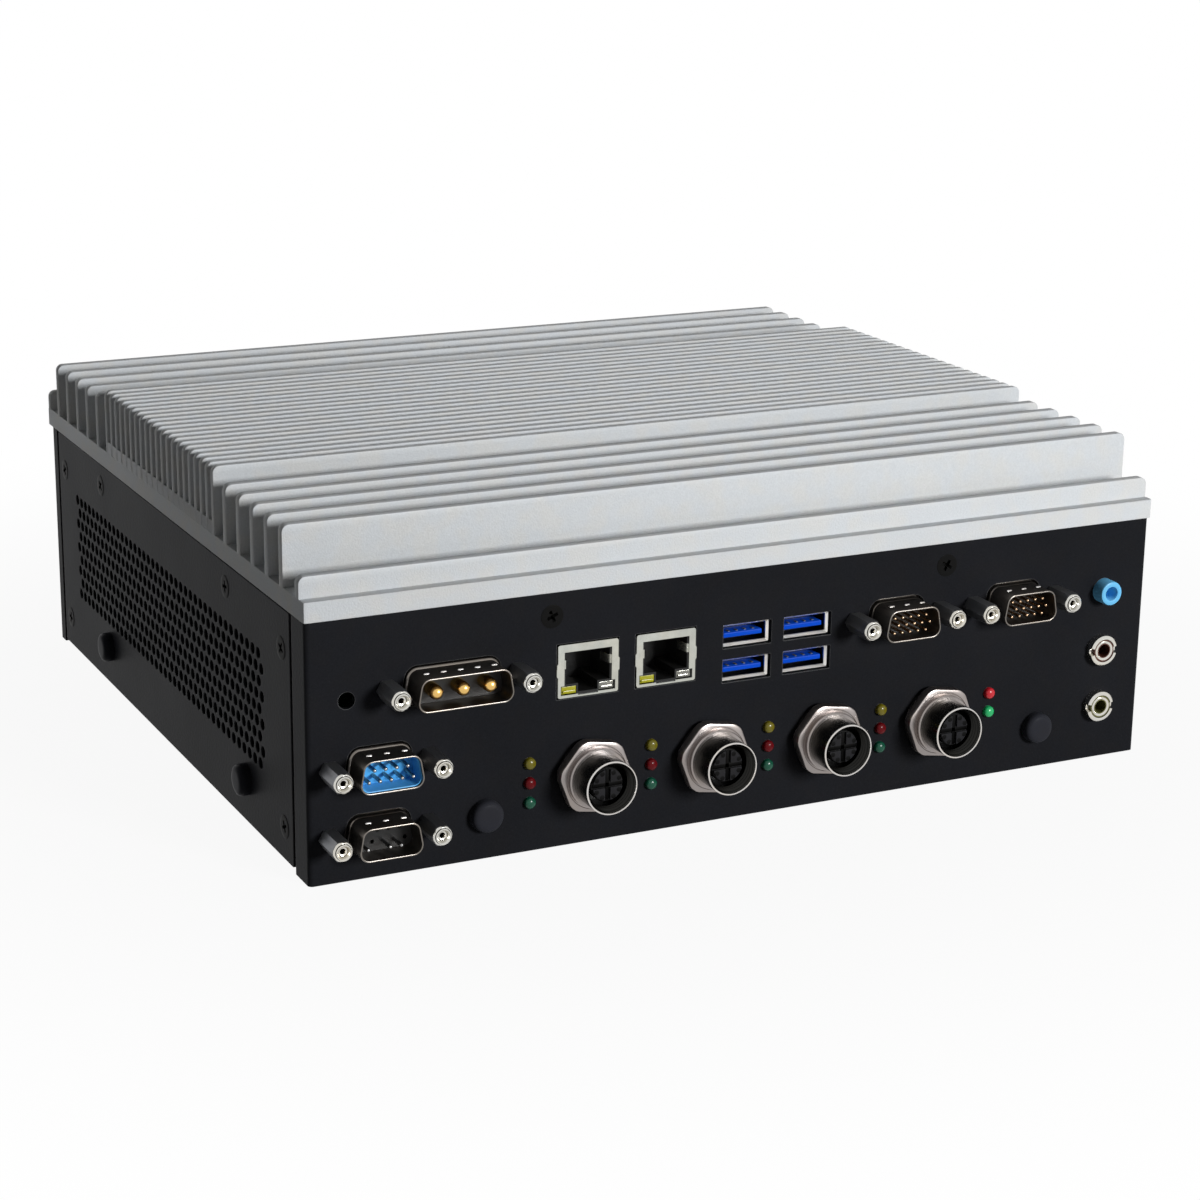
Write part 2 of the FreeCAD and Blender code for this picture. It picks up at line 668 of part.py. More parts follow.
def plain_rear_block(across, up, wide):
    """Rear block of a connector that is soldered to the upright port board."""
    x = left + across
    y0 = front + SHEET + D_FLANGE + D_BACKING
    half = wide / 2
    return box(x - half, x + half, y0, port_board_face, up - D_HEIGHT / 2, up + D_HEIGHT / 2)


def angled_rear_block(across, up, wide):
    """Rear block of a right-angled connector that stands on the main board."""
    x = left + across
    y0 = front + SHEET + D_FLANGE + D_BACKING
    half = wide / 2
    return box(x - half, x + half, y0, port_board_face, BOARD_TOP, up + D_HEIGHT / 2)


def two_row_grid(across, up):
    """Nine pin places: five in the lower row, four above."""
    x = left + across
    lower = [(x + (i - 2) * PIN_PITCH, up - PIN_ROW / 2) for i in range(5)]
    upper = [(x + (i - 1.5) * PIN_PITCH, up + PIN_ROW / 2) for i in range(4)]
    return lower + upper


def three_row_grid(across, up):
    """Fifteen pin places in three rows, the middle row half a pitch to the right."""
    x = left + across
    places = []
    for row in (-1, 0, 1):
        shift = FINE_PIN_PITCH / 4 * (1 if row == 0 else -1)
        places += [(x + shift + (i - 2) * FINE_PIN_PITCH, up + row * FINE_PIN_ROW) for i in range(5)]
    return places


def pins(places, diameter):
    """Slim pins standing on the floor of a shell, six-sided to keep them light."""
    y0 = front - D_REACH + PIN_SHY
    y1 = front - D_REACH + D_FLOOR
    return [prism(hexagon(diameter, x, z), y0, y1) for x, z in places]


def power_pins():
    """Three thick pins in a row."""
    y0 = front - D_REACH + PIN_SHY
    y1 = front - D_REACH + D_FLOOR
    return [rod(POWER_PIN, left + POWER_ACROSS + i * POWER_PIN_PITCH, power_up, y0, y1) for i in (-1, 0, 1)]


def pin_holes(places, diameter):
    """Empty contact holes in the floor of a shell."""
    y0 = front - D_REACH + D_FLOOR
    return [prism(hexagon(diameter, x, z), y0, y0 + PIN_HOLE_DEPTH) for x, z in places]


def jackscrew(x, z):
    """A hexagonal post in front of the panel, with a threaded shank behind it."""
    post = prism(hexagon(JACK_HEX, x, z), front - JACK_REACH, front)
    return post.fuse(peg(JACK_THREAD, x, z, front, front + JACK_SHANK))


power_place = (POWER_ACROSS, power_up, D_WIDE_SHELL)
serial_place = (SERIAL_ACROSS, serial_up, D_NARROW_SHELL)
bus_place = (BUS_ACROSS, BUS_UP, D_NARROW_SHELL)
io_places = [(io_across + i * IO_PITCH, io_up, D_NARROW_SHELL) for i in range(2)]
d_places = [power_place, serial_place, bus_place] + io_places

bus_grid = two_row_grid(BUS_ACROSS, BUS_UP)
bus_used = [bus_grid[0], bus_grid[2], bus_grid[3]]
bus_empty = [place for place in bus_grid if place not in bus_used]


# ---------------------------------------------------------------------------
# Network jacks
# ---------------------------------------------------------------------------

def lan_opening(x, y0, y1):
    """The plug's cavity with the latch notch under it."""
    half = LAN_OPEN / 2
    notch = LAN_NOTCH / 2
    top = lan_low + LAN_HEIGHT - LAN_OPEN_TOP
    cavity = box(x - half, x + half, y0, y1, lan_low + LAN_OPEN_LOW, top)
    return cavity.fuse(box(x - notch, x + notch, y0, y1, lan_low + LAN_NOTCH_LOW, lan_low + LAN_OPEN_LOW))


def lan_light(x, side, y1):
    """A light window under the cavity; side is -1 for the left one and 1 for the right."""
    y0 = front - LAN_PROUD
    outer_edge = x + side * (LAN_WIDTH / 2 - LAN_SKIN - LAN_LIGHT_LOW)
    inner_edge = outer_edge - side * LAN_LIGHT
    low = lan_low + LAN_LIGHT_LOW
    return box(min(outer_edge, inner_edge), max(outer_edge, inner_edge), y0, y1, low, low + LAN_LIGHT_HEIGHT)


def lan_pieces(x):
    """Shield, body, left light and right light of one jack."""
    y0 = front - LAN_PROUD
    y1 = y0 + LAN_DEPTH
    half = LAN_WIDTH / 2
    top = lan_low + LAN_HEIGHT
    case = box(x - half, x + half, y0, y1, lan_low, top)
    core = box(x - half + LAN_SKIN, x + half - LAN_SKIN, y0 + LAN_SKIN, y1, lan_low, top - LAN_SKIN)
    lights = [lan_light(x, side, y0 + LAN_LIGHT_DEPTH) for side in (-1, 1)]
    opening = lan_opening(x, y0, y0 + LAN_CAVITY)
    shield = cut(case, [core, opening] + lights)
    plinth = box(x - half + LAN_SKIN, x + half - LAN_SKIN, front + SHEET + SEAM, y1, BOARD_TOP, lan_low)
    body = cut(fuse([core, plinth]), [opening] + lights)
    return shield, body, lights[0], lights[1]


def lan_contacts(x):
    """Eight spring wires that lean down from the ceiling of the cavity."""
    y0 = front - LAN_PROUD + LAN_CAVITY
    top = lan_low + LAN_HEIGHT - LAN_OPEN_TOP
    slope = [(y0, top), (y0 - CONTACT_RUN, top), (y0, top - CONTACT_DROP)]
    wires = []
    for i in range(8):
        start = x + (i - 3.5) * CONTACT_PITCH - CONTACT / 2
        points = [V(start, y, z) for y, z in slope]
        wires.append(Part.Face(Part.makePolygon(points + points[:1])).extrude(V(CONTACT, 0, 0)))
    return wires


# ---------------------------------------------------------------------------
# USB ports
# ---------------------------------------------------------------------------

usb_ups = [BOARD_TOP + USB_RISE, BOARD_TOP + USB_RISE + USB_STACK]


def usb_shell(x):
    """Two open mouths on one housing that stands on the main board."""
    half = USB_WIDTH / 2
    y0 = front + USB_SHY
    y1 = y0 + USB_DEPTH
    mouths = [box(x - half, x + half, y0, y0 + USB_NECK, z - USB_HEIGHT / 2, z + USB_HEIGHT / 2)
              for z in usb_ups]
    housing = box(x - half, x + half, y0 + USB_NECK, y1, BOARD_TOP, usb_ups[1] + USB_HEIGHT / 2)
    hollow_x = half - USB_SKIN
    hollow_z = USB_HEIGHT / 2 - USB_SKIN
    hollows = [box(x - hollow_x, x + hollow_x, y0, y0 + USB_CAVITY, z - hollow_z, z + hollow_z)
               for z in usb_ups]
    return cut(fuse(mouths + [housing]), hollows)


def usb_tongues(x):
    """The moulded tongue of each port, standing on the back wall of its mouth."""
    y1 = front + USB_SHY + USB_CAVITY
    half = USB_TONGUE / 2
    thick = USB_TONGUE_THICK / 2
    return [box(x - half, x + half, y1 - USB_TONGUE_REACH, y1,
                z - USB_TONGUE_DROP - thick, z - USB_TONGUE_DROP + thick) for z in usb_ups]


# ---------------------------------------------------------------------------
# Round sockets
# ---------------------------------------------------------------------------

m12_xs = [left + m12_across + i * M12_PITCH for i in range(M12_COUNT)]
m12_core_face = front - M12_REACH + M12_CORE_SHY


def m12_housing(x):
    """Turned housing: barrel, collar, hexagon and the threaded shank through the panel."""
    seat = front - M12_GASKET
    hexagon_face = seat - M12_HEX_DEPTH
    barrel = rod(M12_BARREL, x, M12_UP, front - M12_REACH, front + M12_SHANK)
    collar = rod(M12_COLLAR, x, M12_UP, hexagon_face - M12_COLLAR_DEPTH, hexagon_face)
    nut = prism(hexagon(M12_HEX, x, M12_UP, M12_TURN), hexagon_face, seat)
    bore = rod(M12_BORE, x, M12_UP, front - M12_REACH, front + M12_SHANK)
    return cut(fuse([barrel, collar, nut]), [bore])


def m12_cross(x, y0, y1):
    """The shield cross that parts the four contact pairs."""
    half = M12_CORE / 2 - M12_SHIELD / 2
    thin = M12_SHIELD / 2
    upright = box(x - thin, x + thin, y0, y1, M12_UP - half, M12_UP + half)
    level = box(x - half, x + half, y0, y1, M12_UP - thin, M12_UP + thin)
    cross = upright.fuse(level).removeSplitter()
    cross.rotate(V(x, 0, M12_UP), V(0, 1, 0), 45)
    return cross


def m12_insert(x):
    """Contact carrier: a core with an open ring round it, and a base that fills the bore."""
    ring_end = m12_core_face + M12_BACK
    core = rod(M12_CORE, x, M12_UP, m12_core_face, ring_end)
    base = rod(M12_BORE, x, M12_UP, ring_end, port_board_face)
    return cut(core.fuse(base), [m12_cross(x, m12_core_face, m12_core_face + M12_BACK)])


def m12_nut(x):
    """Lock nut behind the panel."""
    back = front + SHEET
    nut = prism(hexagon(M12_HEX, x, M12_UP), back, back + M12_NUT)
    return nut.cut(rod(M12_BARREL, x, M12_UP, back, back + M12_NUT))


# ---------------------------------------------------------------------------
# Status lights and audio jacks
# ---------------------------------------------------------------------------

def status_light(across, up):
    """A light pipe from the port board, tapered to a small flat tip in front of the panel."""
    straight = PORT_BOARD_DEEP + LIGHT_RISE
    stations = [(0, LIGHT), (straight, LIGHT), (straight + LIGHT_TAPER, LIGHT_TIP)]
    return turned(V(left + across, port_board_face, up), V(0, -1, 0), stations)


def light_group(up, first, count):
    return [status_light(first_light + i * M12_PITCH, up) for i in range(first, first + count)]


def audio_jack(up, barrel, reach):
    """Moulded jack: barrel through the panel, square body behind it, blind bore."""
    x = left + audio_across
    half = AUDIO_BODY / 2
    back = front + SHEET
    neck = rod(barrel, x, up, front - reach, back)
    body = box(x - half, x + half, back, port_board_face, up - half, up + half)
    return cut(fuse([neck, body]), [rod(AUDIO_BORE, x, up, front - reach, front - reach + AUDIO_BORE_DEPTH)])


def audio_nut(up):
    """Round nut with two driver slots across its face."""
    x = left + audio_across
    face = front - AUDIO_NUT_DEPTH
    nut = ring(AUDIO_NUT, AUDIO_THREAD, x, up, face, front)
    slot = AUDIO_NUT_SLOT / 2
    reach = AUDIO_NUT / 2
    slots = box(x - reach, x + reach, face, face + AUDIO_NUT_SLOT, up - slot, up + slot)
    return cut(nut, [slots])


# ---------------------------------------------------------------------------
# Front panel with its windows
# ---------------------------------------------------------------------------

def make_front_panel():
    y0 = front
    y1 = front + SHEET
    tools = []
    for across, up, wide in d_places:
        tools.append(d_bar(across, up, wide, y0, y1, D_COLLAR + WINDOW_PLAY))
        tools += [peg(JACK_THREAD, x, z, y0, y1) for x, z in jackscrew_places(across, up, wide)]
    for i in range(2):
        x = left + lan_across + i * LAN_PITCH
        half = LAN_WIDTH / 2 + WINDOW_PLAY
        tools.append(box(x - half, x + half, y0, y1, lan_low - WINDOW_PLAY, lan_low + LAN_HEIGHT + WINDOW_PLAY))
        x = left + usb_across + i * USB_PITCH
        half = USB_WIDTH / 2 + WINDOW_PLAY
        tall = USB_HEIGHT / 2 + WINDOW_PLAY
        tools += [box(x - half, x + half, y0, y1, z - tall, z + tall) for z in usb_ups]
    tools += [rod(M12_BARREL + 2 * HOLE_PLAY, x, M12_UP, y0, y1) for x in m12_xs]
    for i in range(M12_COUNT + 1):
        rows = light_ups if i < M12_COUNT else light_ups[:2]
        tools += [peg(LIGHT, left + first_light + i * M12_PITCH, z, y0, y1) for z in rows]
    x = left + audio_across
    tools += [rod(AUDIO_THREAD, x, z, y0, y1) for z in audio_ups[:2]]
    tools.append(rod(AUDIO_BARREL, x, audio_ups[2], y0, y1))
    tools += [plug_stem(V(left + across, y0, FRONT_PLUG_UP), V(0, 1, 0), SHEET)
              for across in (left_plug, right_plug)]
    tools.append(rod(SPARE_HOLE, left + SPARE_ACROSS, SPARE_UP, y0, y1))
    tools += front_screws + left_screws + right_screws + foot_screws
    return cut(folded_panel(FRONT_RETURN), tools)


# ---------------------------------------------------------------------------
# Boards and what stands on them
# ---------------------------------------------------------------------------

board_left = left + WING_LEFT + BOARD_EDGE_GAP
board_right = left + audio_across - WING_RIGHT - BOARD_EDGE_GAP
board_front = front + BOARD_FRONT
board_rear = rear - BOARD_REAR


def make_port_board():
    """Upright board behind the ports, with a wing up each side of the main board."""
    y0 = port_board_face
    y1 = y0 + BOARD
    low = PORT_BOARD_LOW
    middle = BOARD_TOP - BOARD - PORT_BOARD_GAP
    wing_top = io_up + WING_TOP
    board_edge = left + SHEET + FRONT_RETURN / 2
    right_edge = left + audio_across + WING_RIGHT
    strip = box(board_edge, right_edge, y0, y1, low, middle)
    left_wing = box(board_edge, left + WING_LEFT, y0, y1, low, wing_top)
    right_wing = box(left + audio_across - WING_RIGHT, right_edge, y0, y1, low, wing_top)
    return fuse([strip, left_wing, right_wing])


def standoff_places():
    xs = (board_left + STANDOFF_INSET, board_right - STANDOFF_INSET)
    ys = (port_board_face + BOARD + STANDOFF_INSET, (board_front + board_rear) / 2, board_rear - STANDOFF_INSET)
    return [(x, y) for x in xs for y in ys]


def centred_box(wide, deep, z0, z1):
    return box(-wide / 2, wide / 2, -deep / 2, deep / 2, z0, z1)


def make_drive():
    """A flat storage drive on four feet, in the middle of the tray."""
    low = SHEET + DRIVE_LIFT
    body = centred_box(DRIVE[0], DRIVE[1], low, low + DRIVE[2])
    corner_x = DRIVE[0] / 2
    corner_y = DRIVE[1] / 2
    feet = []
    for x in (-corner_x, corner_x - DRIVE_FOOT):
        for y in (-corner_y, corner_y - DRIVE_FOOT):
            feet.append(box(x, x + DRIVE_FOOT, y, y + DRIVE_FOOT, SHEET, low))
    return fuse([body] + feet)


# ---------------------------------------------------------------------------
# Every node
# ---------------------------------------------------------------------------

export("heatsink_cover", make_heatsink())
export("front_panel", make_front_panel())
export("rear_panel", make_rear_panel())
left_panel = make_left_panel()
export("left_side_panel", left_panel)
export("right_side_panel", mirror_x(left_panel))
export("bottom_tray", make_tray())
export("bracket_nuts", [bracket_nut(p) for p in bracket_places()])

export("front_panel_screws", front_screws)
export("rear_panel_screws", rear_screws)
export("left_panel_screws", left_screws)
export("right_panel_screws", right_screws)
export("bottom_tray_screws", foot_screws)

left_plugs = [hole_plug(p, V(1, 0, 0)) for p in side_plug_places()]
export("left_hole_plugs", left_plugs)
export("right_hole_plugs", [mirror_x(p) for p in left_plugs])
export("front_hole_plugs", [hole_plug(V(left + across, front, FRONT_PLUG_UP), V(0, 1, 0))
                            for across in (left_plug, right_plug)])

d_nodes = [("power", power_place, plain_rear_block(*power_place), power_pins(), []),
           ("serial", serial_place, plain_rear_block(*serial_place),
            pins(two_row_grid(SERIAL_ACROSS, serial_up), PIN), []),
           ("bus", bus_place, plain_rear_block(*bus_place), pins(bus_used, PIN), pin_holes(bus_empty, PIN))]
for number, place in enumerate(io_places, 1):
    d_nodes.append(("io_%d" % number, place, angled_rear_block(*place),
                    pins(three_row_grid(place[0], place[1]), FINE_PIN), []))
for name, place, block, pin_group, holes in d_nodes:
    export(name + "_connector_shell", d_shell(*place))
    export(name + "_connector_insert", d_insert(*place, block, holes))
    export(name + "_connector_pins", pin_group)
export("connector_jackscrews", [jackscrew(x, z) for place in d_places for x, z in jackscrew_places(*place)])

lan_xs = [left + lan_across + i * LAN_PITCH for i in range(2)]
lan_sets = [lan_pieces(x) for x in lan_xs]
for number, (shield, _, _, _) in enumerate(lan_sets, 1):
    export("lan_jack_%d_shield" % number, shield)
export("lan_jack_bodies", [pieces[1] for pieces in lan_sets])
export("lan_jack_contacts", [wire for x in lan_xs for wire in lan_contacts(x)])
export("lan_lights_yellow", [pieces[2] for pieces in lan_sets])
export("lan_lights_clear", [pieces[3] for pieces in lan_sets])

usb_xs = [left + usb_across + i * USB_PITCH for i in range(2)]
export("usb_port_shells", [usb_shell(x) for x in usb_xs])
export("usb_port_tongues", [tongue for x in usb_xs for tongue in usb_tongues(x)])

for number, x in enumerate(m12_xs, 1):
    export("m12_socket_%d_housing" % number, m12_housing(x))
export("m12_socket_inserts", [m12_insert(x) for x in m12_xs])
export("m12_socket_shields", [m12_cross(x, m12_core_face - M12_SHIELD_PROUD, m12_core_face + M12_BACK)
                              for x in m12_xs])
export("m12_socket_gaskets", [ring(M12_GASKET_OUT, M12_BARREL, x, M12_UP, front - M12_GASKET, front)
                              for x in m12_xs])
export("m12_socket_nuts", [m12_nut(x) for x in m12_xs])

export("status_lights_yellow", light_group(light_ups[0], 0, M12_COUNT))
export("status_lights_red", light_group(light_ups[1], 0, M12_COUNT) + light_group(light_ups[0], M12_COUNT, 1))
export("status_lights_green", light_group(light_ups[2], 0, M12_COUNT) + light_group(light_ups[1], M12_COUNT, 1))

export("audio_jack_bottom", audio_jack(audio_ups[0], AUDIO_THREAD, AUDIO_REACH))
export("audio_jack_middle", audio_jack(audio_ups[1], AUDIO_THREAD, AUDIO_REACH))
export("audio_jack_top", audio_jack(audio_ups[2], AUDIO_BARREL, AUDIO_TOP_REACH))
export("audio_jack_nuts", [audio_nut(up) for up in audio_ups[:2]])

export("main_board", box(board_left, board_right, board_front, board_rear, BOARD_TOP - BOARD, BOARD_TOP))
export("port_board", make_port_board())
export("board_standoffs", [post(STANDOFF, x, y, SHEET, BOARD_TOP - BOARD) for x, y in standoff_places()])
export("processor", centred_box(PROCESSOR, PROCESSOR, BOARD_TOP, BOARD_TOP + PROCESSOR_HEIGHT))
export("heat_block", centred_box(HEAT_BLOCK, HEAT_BLOCK, BOARD_TOP + PROCESSOR_HEIGHT, height))
export("storage_drive", make_drive())
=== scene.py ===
"""Looks of a fanless industrial computer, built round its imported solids.

The object's frame is in metres: +X to the right as seen from the front, +Y from front
to rear, +Z up. Sizes inside the classes are millimetres, and a seat turns them into
that frame.
"""

import logging
import math
from dataclasses import dataclass, replace
from enum import Enum
from functools import lru_cache
from typing import Any, Callable, Iterable

import bmesh
import bpy
from mathutils import Matrix, Vector


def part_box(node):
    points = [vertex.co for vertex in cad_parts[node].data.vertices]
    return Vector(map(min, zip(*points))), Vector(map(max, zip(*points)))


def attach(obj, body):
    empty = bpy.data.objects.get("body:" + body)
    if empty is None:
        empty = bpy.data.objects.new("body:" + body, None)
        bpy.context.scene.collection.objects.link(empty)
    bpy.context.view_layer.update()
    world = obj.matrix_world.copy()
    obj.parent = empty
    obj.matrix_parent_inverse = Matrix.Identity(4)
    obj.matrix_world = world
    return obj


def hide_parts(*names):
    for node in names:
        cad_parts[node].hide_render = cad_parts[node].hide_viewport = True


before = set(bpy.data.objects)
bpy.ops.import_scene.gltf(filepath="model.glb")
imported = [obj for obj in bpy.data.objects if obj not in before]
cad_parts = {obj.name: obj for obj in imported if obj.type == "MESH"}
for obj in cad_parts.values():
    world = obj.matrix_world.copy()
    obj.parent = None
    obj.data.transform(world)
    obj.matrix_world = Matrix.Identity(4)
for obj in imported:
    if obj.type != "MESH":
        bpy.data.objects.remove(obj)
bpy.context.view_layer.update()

MM = 0.001
LOG = logging.getLogger("industrial_computer")

PATCH_SIZE = 24.0
ROUGH_SHARES = (0.82, 0.2, 0.16)
COAT_ROUGHNESS = 0.08
# How far the bevelled normal turns before the painted edge highlight rises.
EDGE_LIGHT_BAND = (0.02, 0.25)
RELIEF_HEIGHT = 0.1
TINT_SIZE = 6.0
TINT_BAND = (0.35, 0.7)
TINT = (1.03, 1.0, 0.96)

Point = tuple[float, float]
Place = tuple[float, float, float]
Loop = list[Place]
Colour = tuple[float, float, float]
Outline = Callable[[float], list[Point]]


# Shader graphs


class Wire:
    """An output socket that takes part in Python arithmetic."""

    def __init__(self, graph: "Graph", socket: bpy.types.NodeSocket) -> None:
        """Keep the socket and the graph that new nodes go into."""
        self.graph = graph
        self.socket = socket

    def _join(self, operation: str, other: Any, swapped: bool = False) -> "Wire":
        """Add the node that combines this wire with another wire, number or colour.

        Args:
            operation: name shared by the Math, Vector Math and Mix nodes.
            other: the second operand.
            swapped: whether the other operand comes first.

        Returns:
            The wire that carries the result.
        """
        pair = (other, self) if swapped else (self, other)
        kinds = {item.socket.type for item in pair if isinstance(item, Wire)}
        if "RGBA" in kinds:
            first, second = (_as_colour(item) for item in pair)
            settings = {"data_type": "RGBA", "blend_type": operation}
            return self.graph.wire("ShaderNodeMix", settings, {0: 1.0, 6: first, 7: second}, 2)
        if "VECTOR" in kinds:
            first, second = (_as_vector(item) for item in pair)
            settings = {"operation": operation}
            return self.graph.wire("ShaderNodeVectorMath", settings, {0: first, 1: second})
        return self.graph.wire("ShaderNodeMath", {"operation": operation}, {0: pair[0], 1: pair[1]})

    def __add__(self, other: Any) -> "Wire":
        """This wire plus another operand."""
        return self._join("ADD", other)

    def __radd__(self, other: Any) -> "Wire":
        """Another operand plus this wire."""
        return self._join("ADD", other, True)

    def __sub__(self, other: Any) -> "Wire":
        """This wire less another operand."""
        return self._join("SUBTRACT", other)

    def __rsub__(self, other: Any) -> "Wire":
        """Another operand less this wire."""
        return self._join("SUBTRACT", other, True)

    def __mul__(self, other: Any) -> "Wire":
        """This wire times another operand."""
        return self._join("MULTIPLY", other)

    def __rmul__(self, other: Any) -> "Wire":
        """Another operand times this wire."""
        return self._join("MULTIPLY", other, True)

    def band(self, low: float, high: float) -> "Wire":
        """A mask that rises from 0 to 1 between two values of this wire."""
        settings = {"interpolation_type": "SMOOTHSTEP"}
        limits = {"Value": self, "From Min": low, "From Max": high}
        return self.graph.wire("ShaderNodeMapRange", settings, limits)

    def choose(self, off: Colour, on: Colour) -> "Wire":
        """A colour that goes from one to the other as this wire goes from 0 to 1."""
        sockets = {0: self, 6: _as_colour(off), 7: _as_colour(on)}
        return self.graph.wire("ShaderNodeMix", {"data_type": "RGBA"}, sockets, 2)


def _as_colour(item: Any) -> Any:
    """A colour socket's value out of a wire, a number or a triple."""
    if isinstance(item, Wire):
        return item
    return (*item, 1.0) if isinstance(item, tuple) else (item, item, item, 1.0)


def _as_vector(item: Any) -> Any:
    """A vector socket's value out of a wire, a number or a triple."""
    return item if isinstance(item, (Wire, tuple)) else (item, item, item)


class Graph:
    """The node tree of one material or of the world."""

    def __init__(self, holder: bpy.types.Material | bpy.types.World) -> None:
        """Start with an output and nothing else."""
        self.holder = holder
        holder.use_nodes = True
        self.tree = holder.node_tree
        self.tree.nodes.clear()
        kind = "World" if isinstance(holder, bpy.types.World) else "Material"
        self.output = self.add("ShaderNodeOutput" + kind)

    def add(self, kind: str, settings: dict[str, Any] | None = None,
            sockets: dict[str | int, Any] | None = None) -> bpy.types.Node:
        """Add a node.

        Args:
            kind: the node's type.
            settings: its properties, set before its sockets.
            sockets: values or wires by socket name or number.

        Returns:
            The new node.
        """
        node = self.tree.nodes.new(kind)
        for key, value in (settings or {}).items():
            setattr(node, key, value)
        for key, value in (sockets or {}).items():
            if isinstance(value, Wire):
                self.tree.links.new(value.socket, node.inputs[key])
            else:
                node.inputs[key].default_value = value
        return node

    def wire(self, kind: str, settings: dict[str, Any] | None = None,
             sockets: dict[str | int, Any] | None = None, output: int | str = 0) -> Wire:
        """Add a node and return one of its outputs as a wire."""
        return Wire(self, self.add(kind, settings, sockets).outputs[output])

    @property
    def place(self) -> Wire:
        """The surface point in the object's own frame."""
        return self.wire("ShaderNodeTexCoord", output="Object")

    def noise(self, size: float, detail: float = 2.0, stretch: Place = (1, 1, 1)) -> Wire:
        """Soft noise about 0.5.

        Args:
            size: width of its patches in millimetres.
            detail: how many finer layers it carries.
            stretch: how much closer together its patches lie along each axis.

        Returns:
            The noise as a value.
        """
        at = self.place if stretch == (1, 1, 1) else self.place * stretch
        sockets = {"Vector": at, "Scale": 1 / (size * MM), "Detail": detail}
        return self.wire("ShaderNodeTexNoise", None, sockets)

    def cells(self, size: float) -> Wire:
        """Distance to the nearest of scattered points, about a size in millimetres apart."""
        sockets = {"Vector": self.place, "Scale": 1 / (size * MM)}
        return self.wire("ShaderNodeTexVoronoi", None, sockets)

    def finish(self, shader: bpy.types.Node) -> bpy.types.Material | bpy.types.World:
        """Wire a shader to the output and return what it colours."""
        self.tree.links.new(shader.outputs[0], self.output.inputs["Surface"])
        return self.holder


# Finishes


class Grain(Enum):
    """How a surface is broken up at close range."""

    BLASTED = "bead-blasted metal"
    POWDER = "powder coat"
    PLATED = "plated metal"
    TURNED = "turned and plated metal"
    MOULDED = "moulded plastic"
    BOARD = "circuit board"


@dataclass(frozen=True)
class Finish:
    """One surface finish of the object."""

    slot: str
    grain: Grain
    colour: Colour
    roughness: float
    metallic: float = 0.0
    coat: float = 0.0
    drift: float = 0.12
    speckle: float = 0.1
    relief: float = 0.1
    grain_size: float = 0.35
    soft_edge: float = 0.0
    gloss: float = 0.5
    # Strength of a painted highlight that lightens the colour along edges.
    edge_light: float = 0.0

    @lru_cache(maxsize=None)
    def material(self) -> bpy.types.Material:
        """The finish as a material, made once."""
        graph = Graph(bpy.data.materials.new(self.slot))
        broad = graph.noise(PATCH_SIZE, 3.0)
        fine, height = self._texture(graph)
        tone = 1.0 - self.drift / 2 - self.speckle / 2 + broad * self.drift + fine * self.speckle
        colour = self._pigment(graph) * tone
        level, by_patch, by_grain = (share * self.roughness for share in ROUGH_SHARES)
        rough = level + broad * by_patch + fine * by_grain
        bump = {"Height": height, "Strength": self.relief, "Distance": RELIEF_HEIGHT * MM}
        if self.soft_edge:
            radius = {"Radius": self.soft_edge * MM}
            bump["Normal"] = graph.wire("ShaderNodeBevel", {"samples": 6}, radius)
        # Painted highlight: the colour is lightened along edges, where the bevelled normal turns
        # away from the true one.
        if self.edge_light:
            flat = graph.wire("ShaderNodeNewGeometry", output="True Normal")
            settings = {"operation": "DOT_PRODUCT"}
            facing = graph.wire("ShaderNodeVectorMath", settings, {0: bump["Normal"], 1: flat}, 1)
            colour = colour + (1.0 - facing).band(*EDGE_LIGHT_BAND) * self.edge_light
        sockets = {
            "Base Color": colour,
            "Roughness": rough,
            "Metallic": self.metallic,
            "Coat Weight": self.coat,
            "Coat Roughness": COAT_ROUGHNESS,
            "Specular IOR Level": self.gloss,
            "Normal": graph.wire("ShaderNodeBump", None, bump),
        }
        return graph.finish(graph.add("ShaderNodeBsdfPrincipled", None, sockets))

    def _texture(self, graph: Graph) -> tuple[Wire, Wire]:
        """The close-range pattern of this grain.

        Args:
            graph: the node tree to add to.

        Returns:
            A value that varies tone and gloss, and the height for the relief.
        """
        size = self.grain_size
        fine = graph.noise(size, 2.0)
        if self.grain is Grain.BLASTED:
            return fine, fine * 0.6 + graph.cells(size) * 0.5
        if self.grain is Grain.POWDER:
            peel = graph.noise(size * 2.4, 1.0)
            specks = graph.cells(1.6)
            return fine + (1.0 - specks.band(0.04, 0.1)) * 0.9, peel + fine * 0.4
        if self.grain is Grain.TURNED:
            rings = graph.noise(3.0, 2.0, (1, 22, 1))
            return rings, rings
        if self.grain is Grain.PLATED:
            smear = graph.noise(2.2, 3.0, (1, 3, 1))
            return smear, fine
        if self.grain is Grain.BOARD:
            sockets = {"Vector": graph.place, "Scale": 180.0, "Distortion": 1.5}
            weave = graph.wire("ShaderNodeTexWave", None, sockets)
            return weave, weave + fine * 0.3
        return fine, fine

    def _pigment(self, graph: Graph) -> Wire:
        """The colour before its tone varies: board traces stand out from the mask."""
        if self.grain is Grain.BOARD:
            traces = graph.wire("ShaderNodeTexBrick", {"offset": 0.37}, {
                "Vector": graph.place, "Scale": 160.0, "Mortar Size": 0.035, "Color1": (0, 0, 0, 1),
                "Color2": (0.25, 0.25, 0.25, 1), "Mortar": (1, 1, 1, 1)})
            lighter = tuple(min(1.0, c * 2.2 + 0.02) for c in self.colour)
            return (traces * 1.0).choose(self.colour, lighter)
        patch = graph.noise(TINT_SIZE, 1.0).band(*TINT_BAND)
        warmer = tuple(c * w for c, w in zip(self.colour, TINT))
        return patch.choose(self.colour, warmer)


def metal(slot: str, colour: Colour, roughness: float, relief: float = 0.05,
          **more: float) -> Finish:
    """A plated metal finish."""
    return Finish(slot, Grain.PLATED, colour, roughness, 1.0, relief=relief, **more)


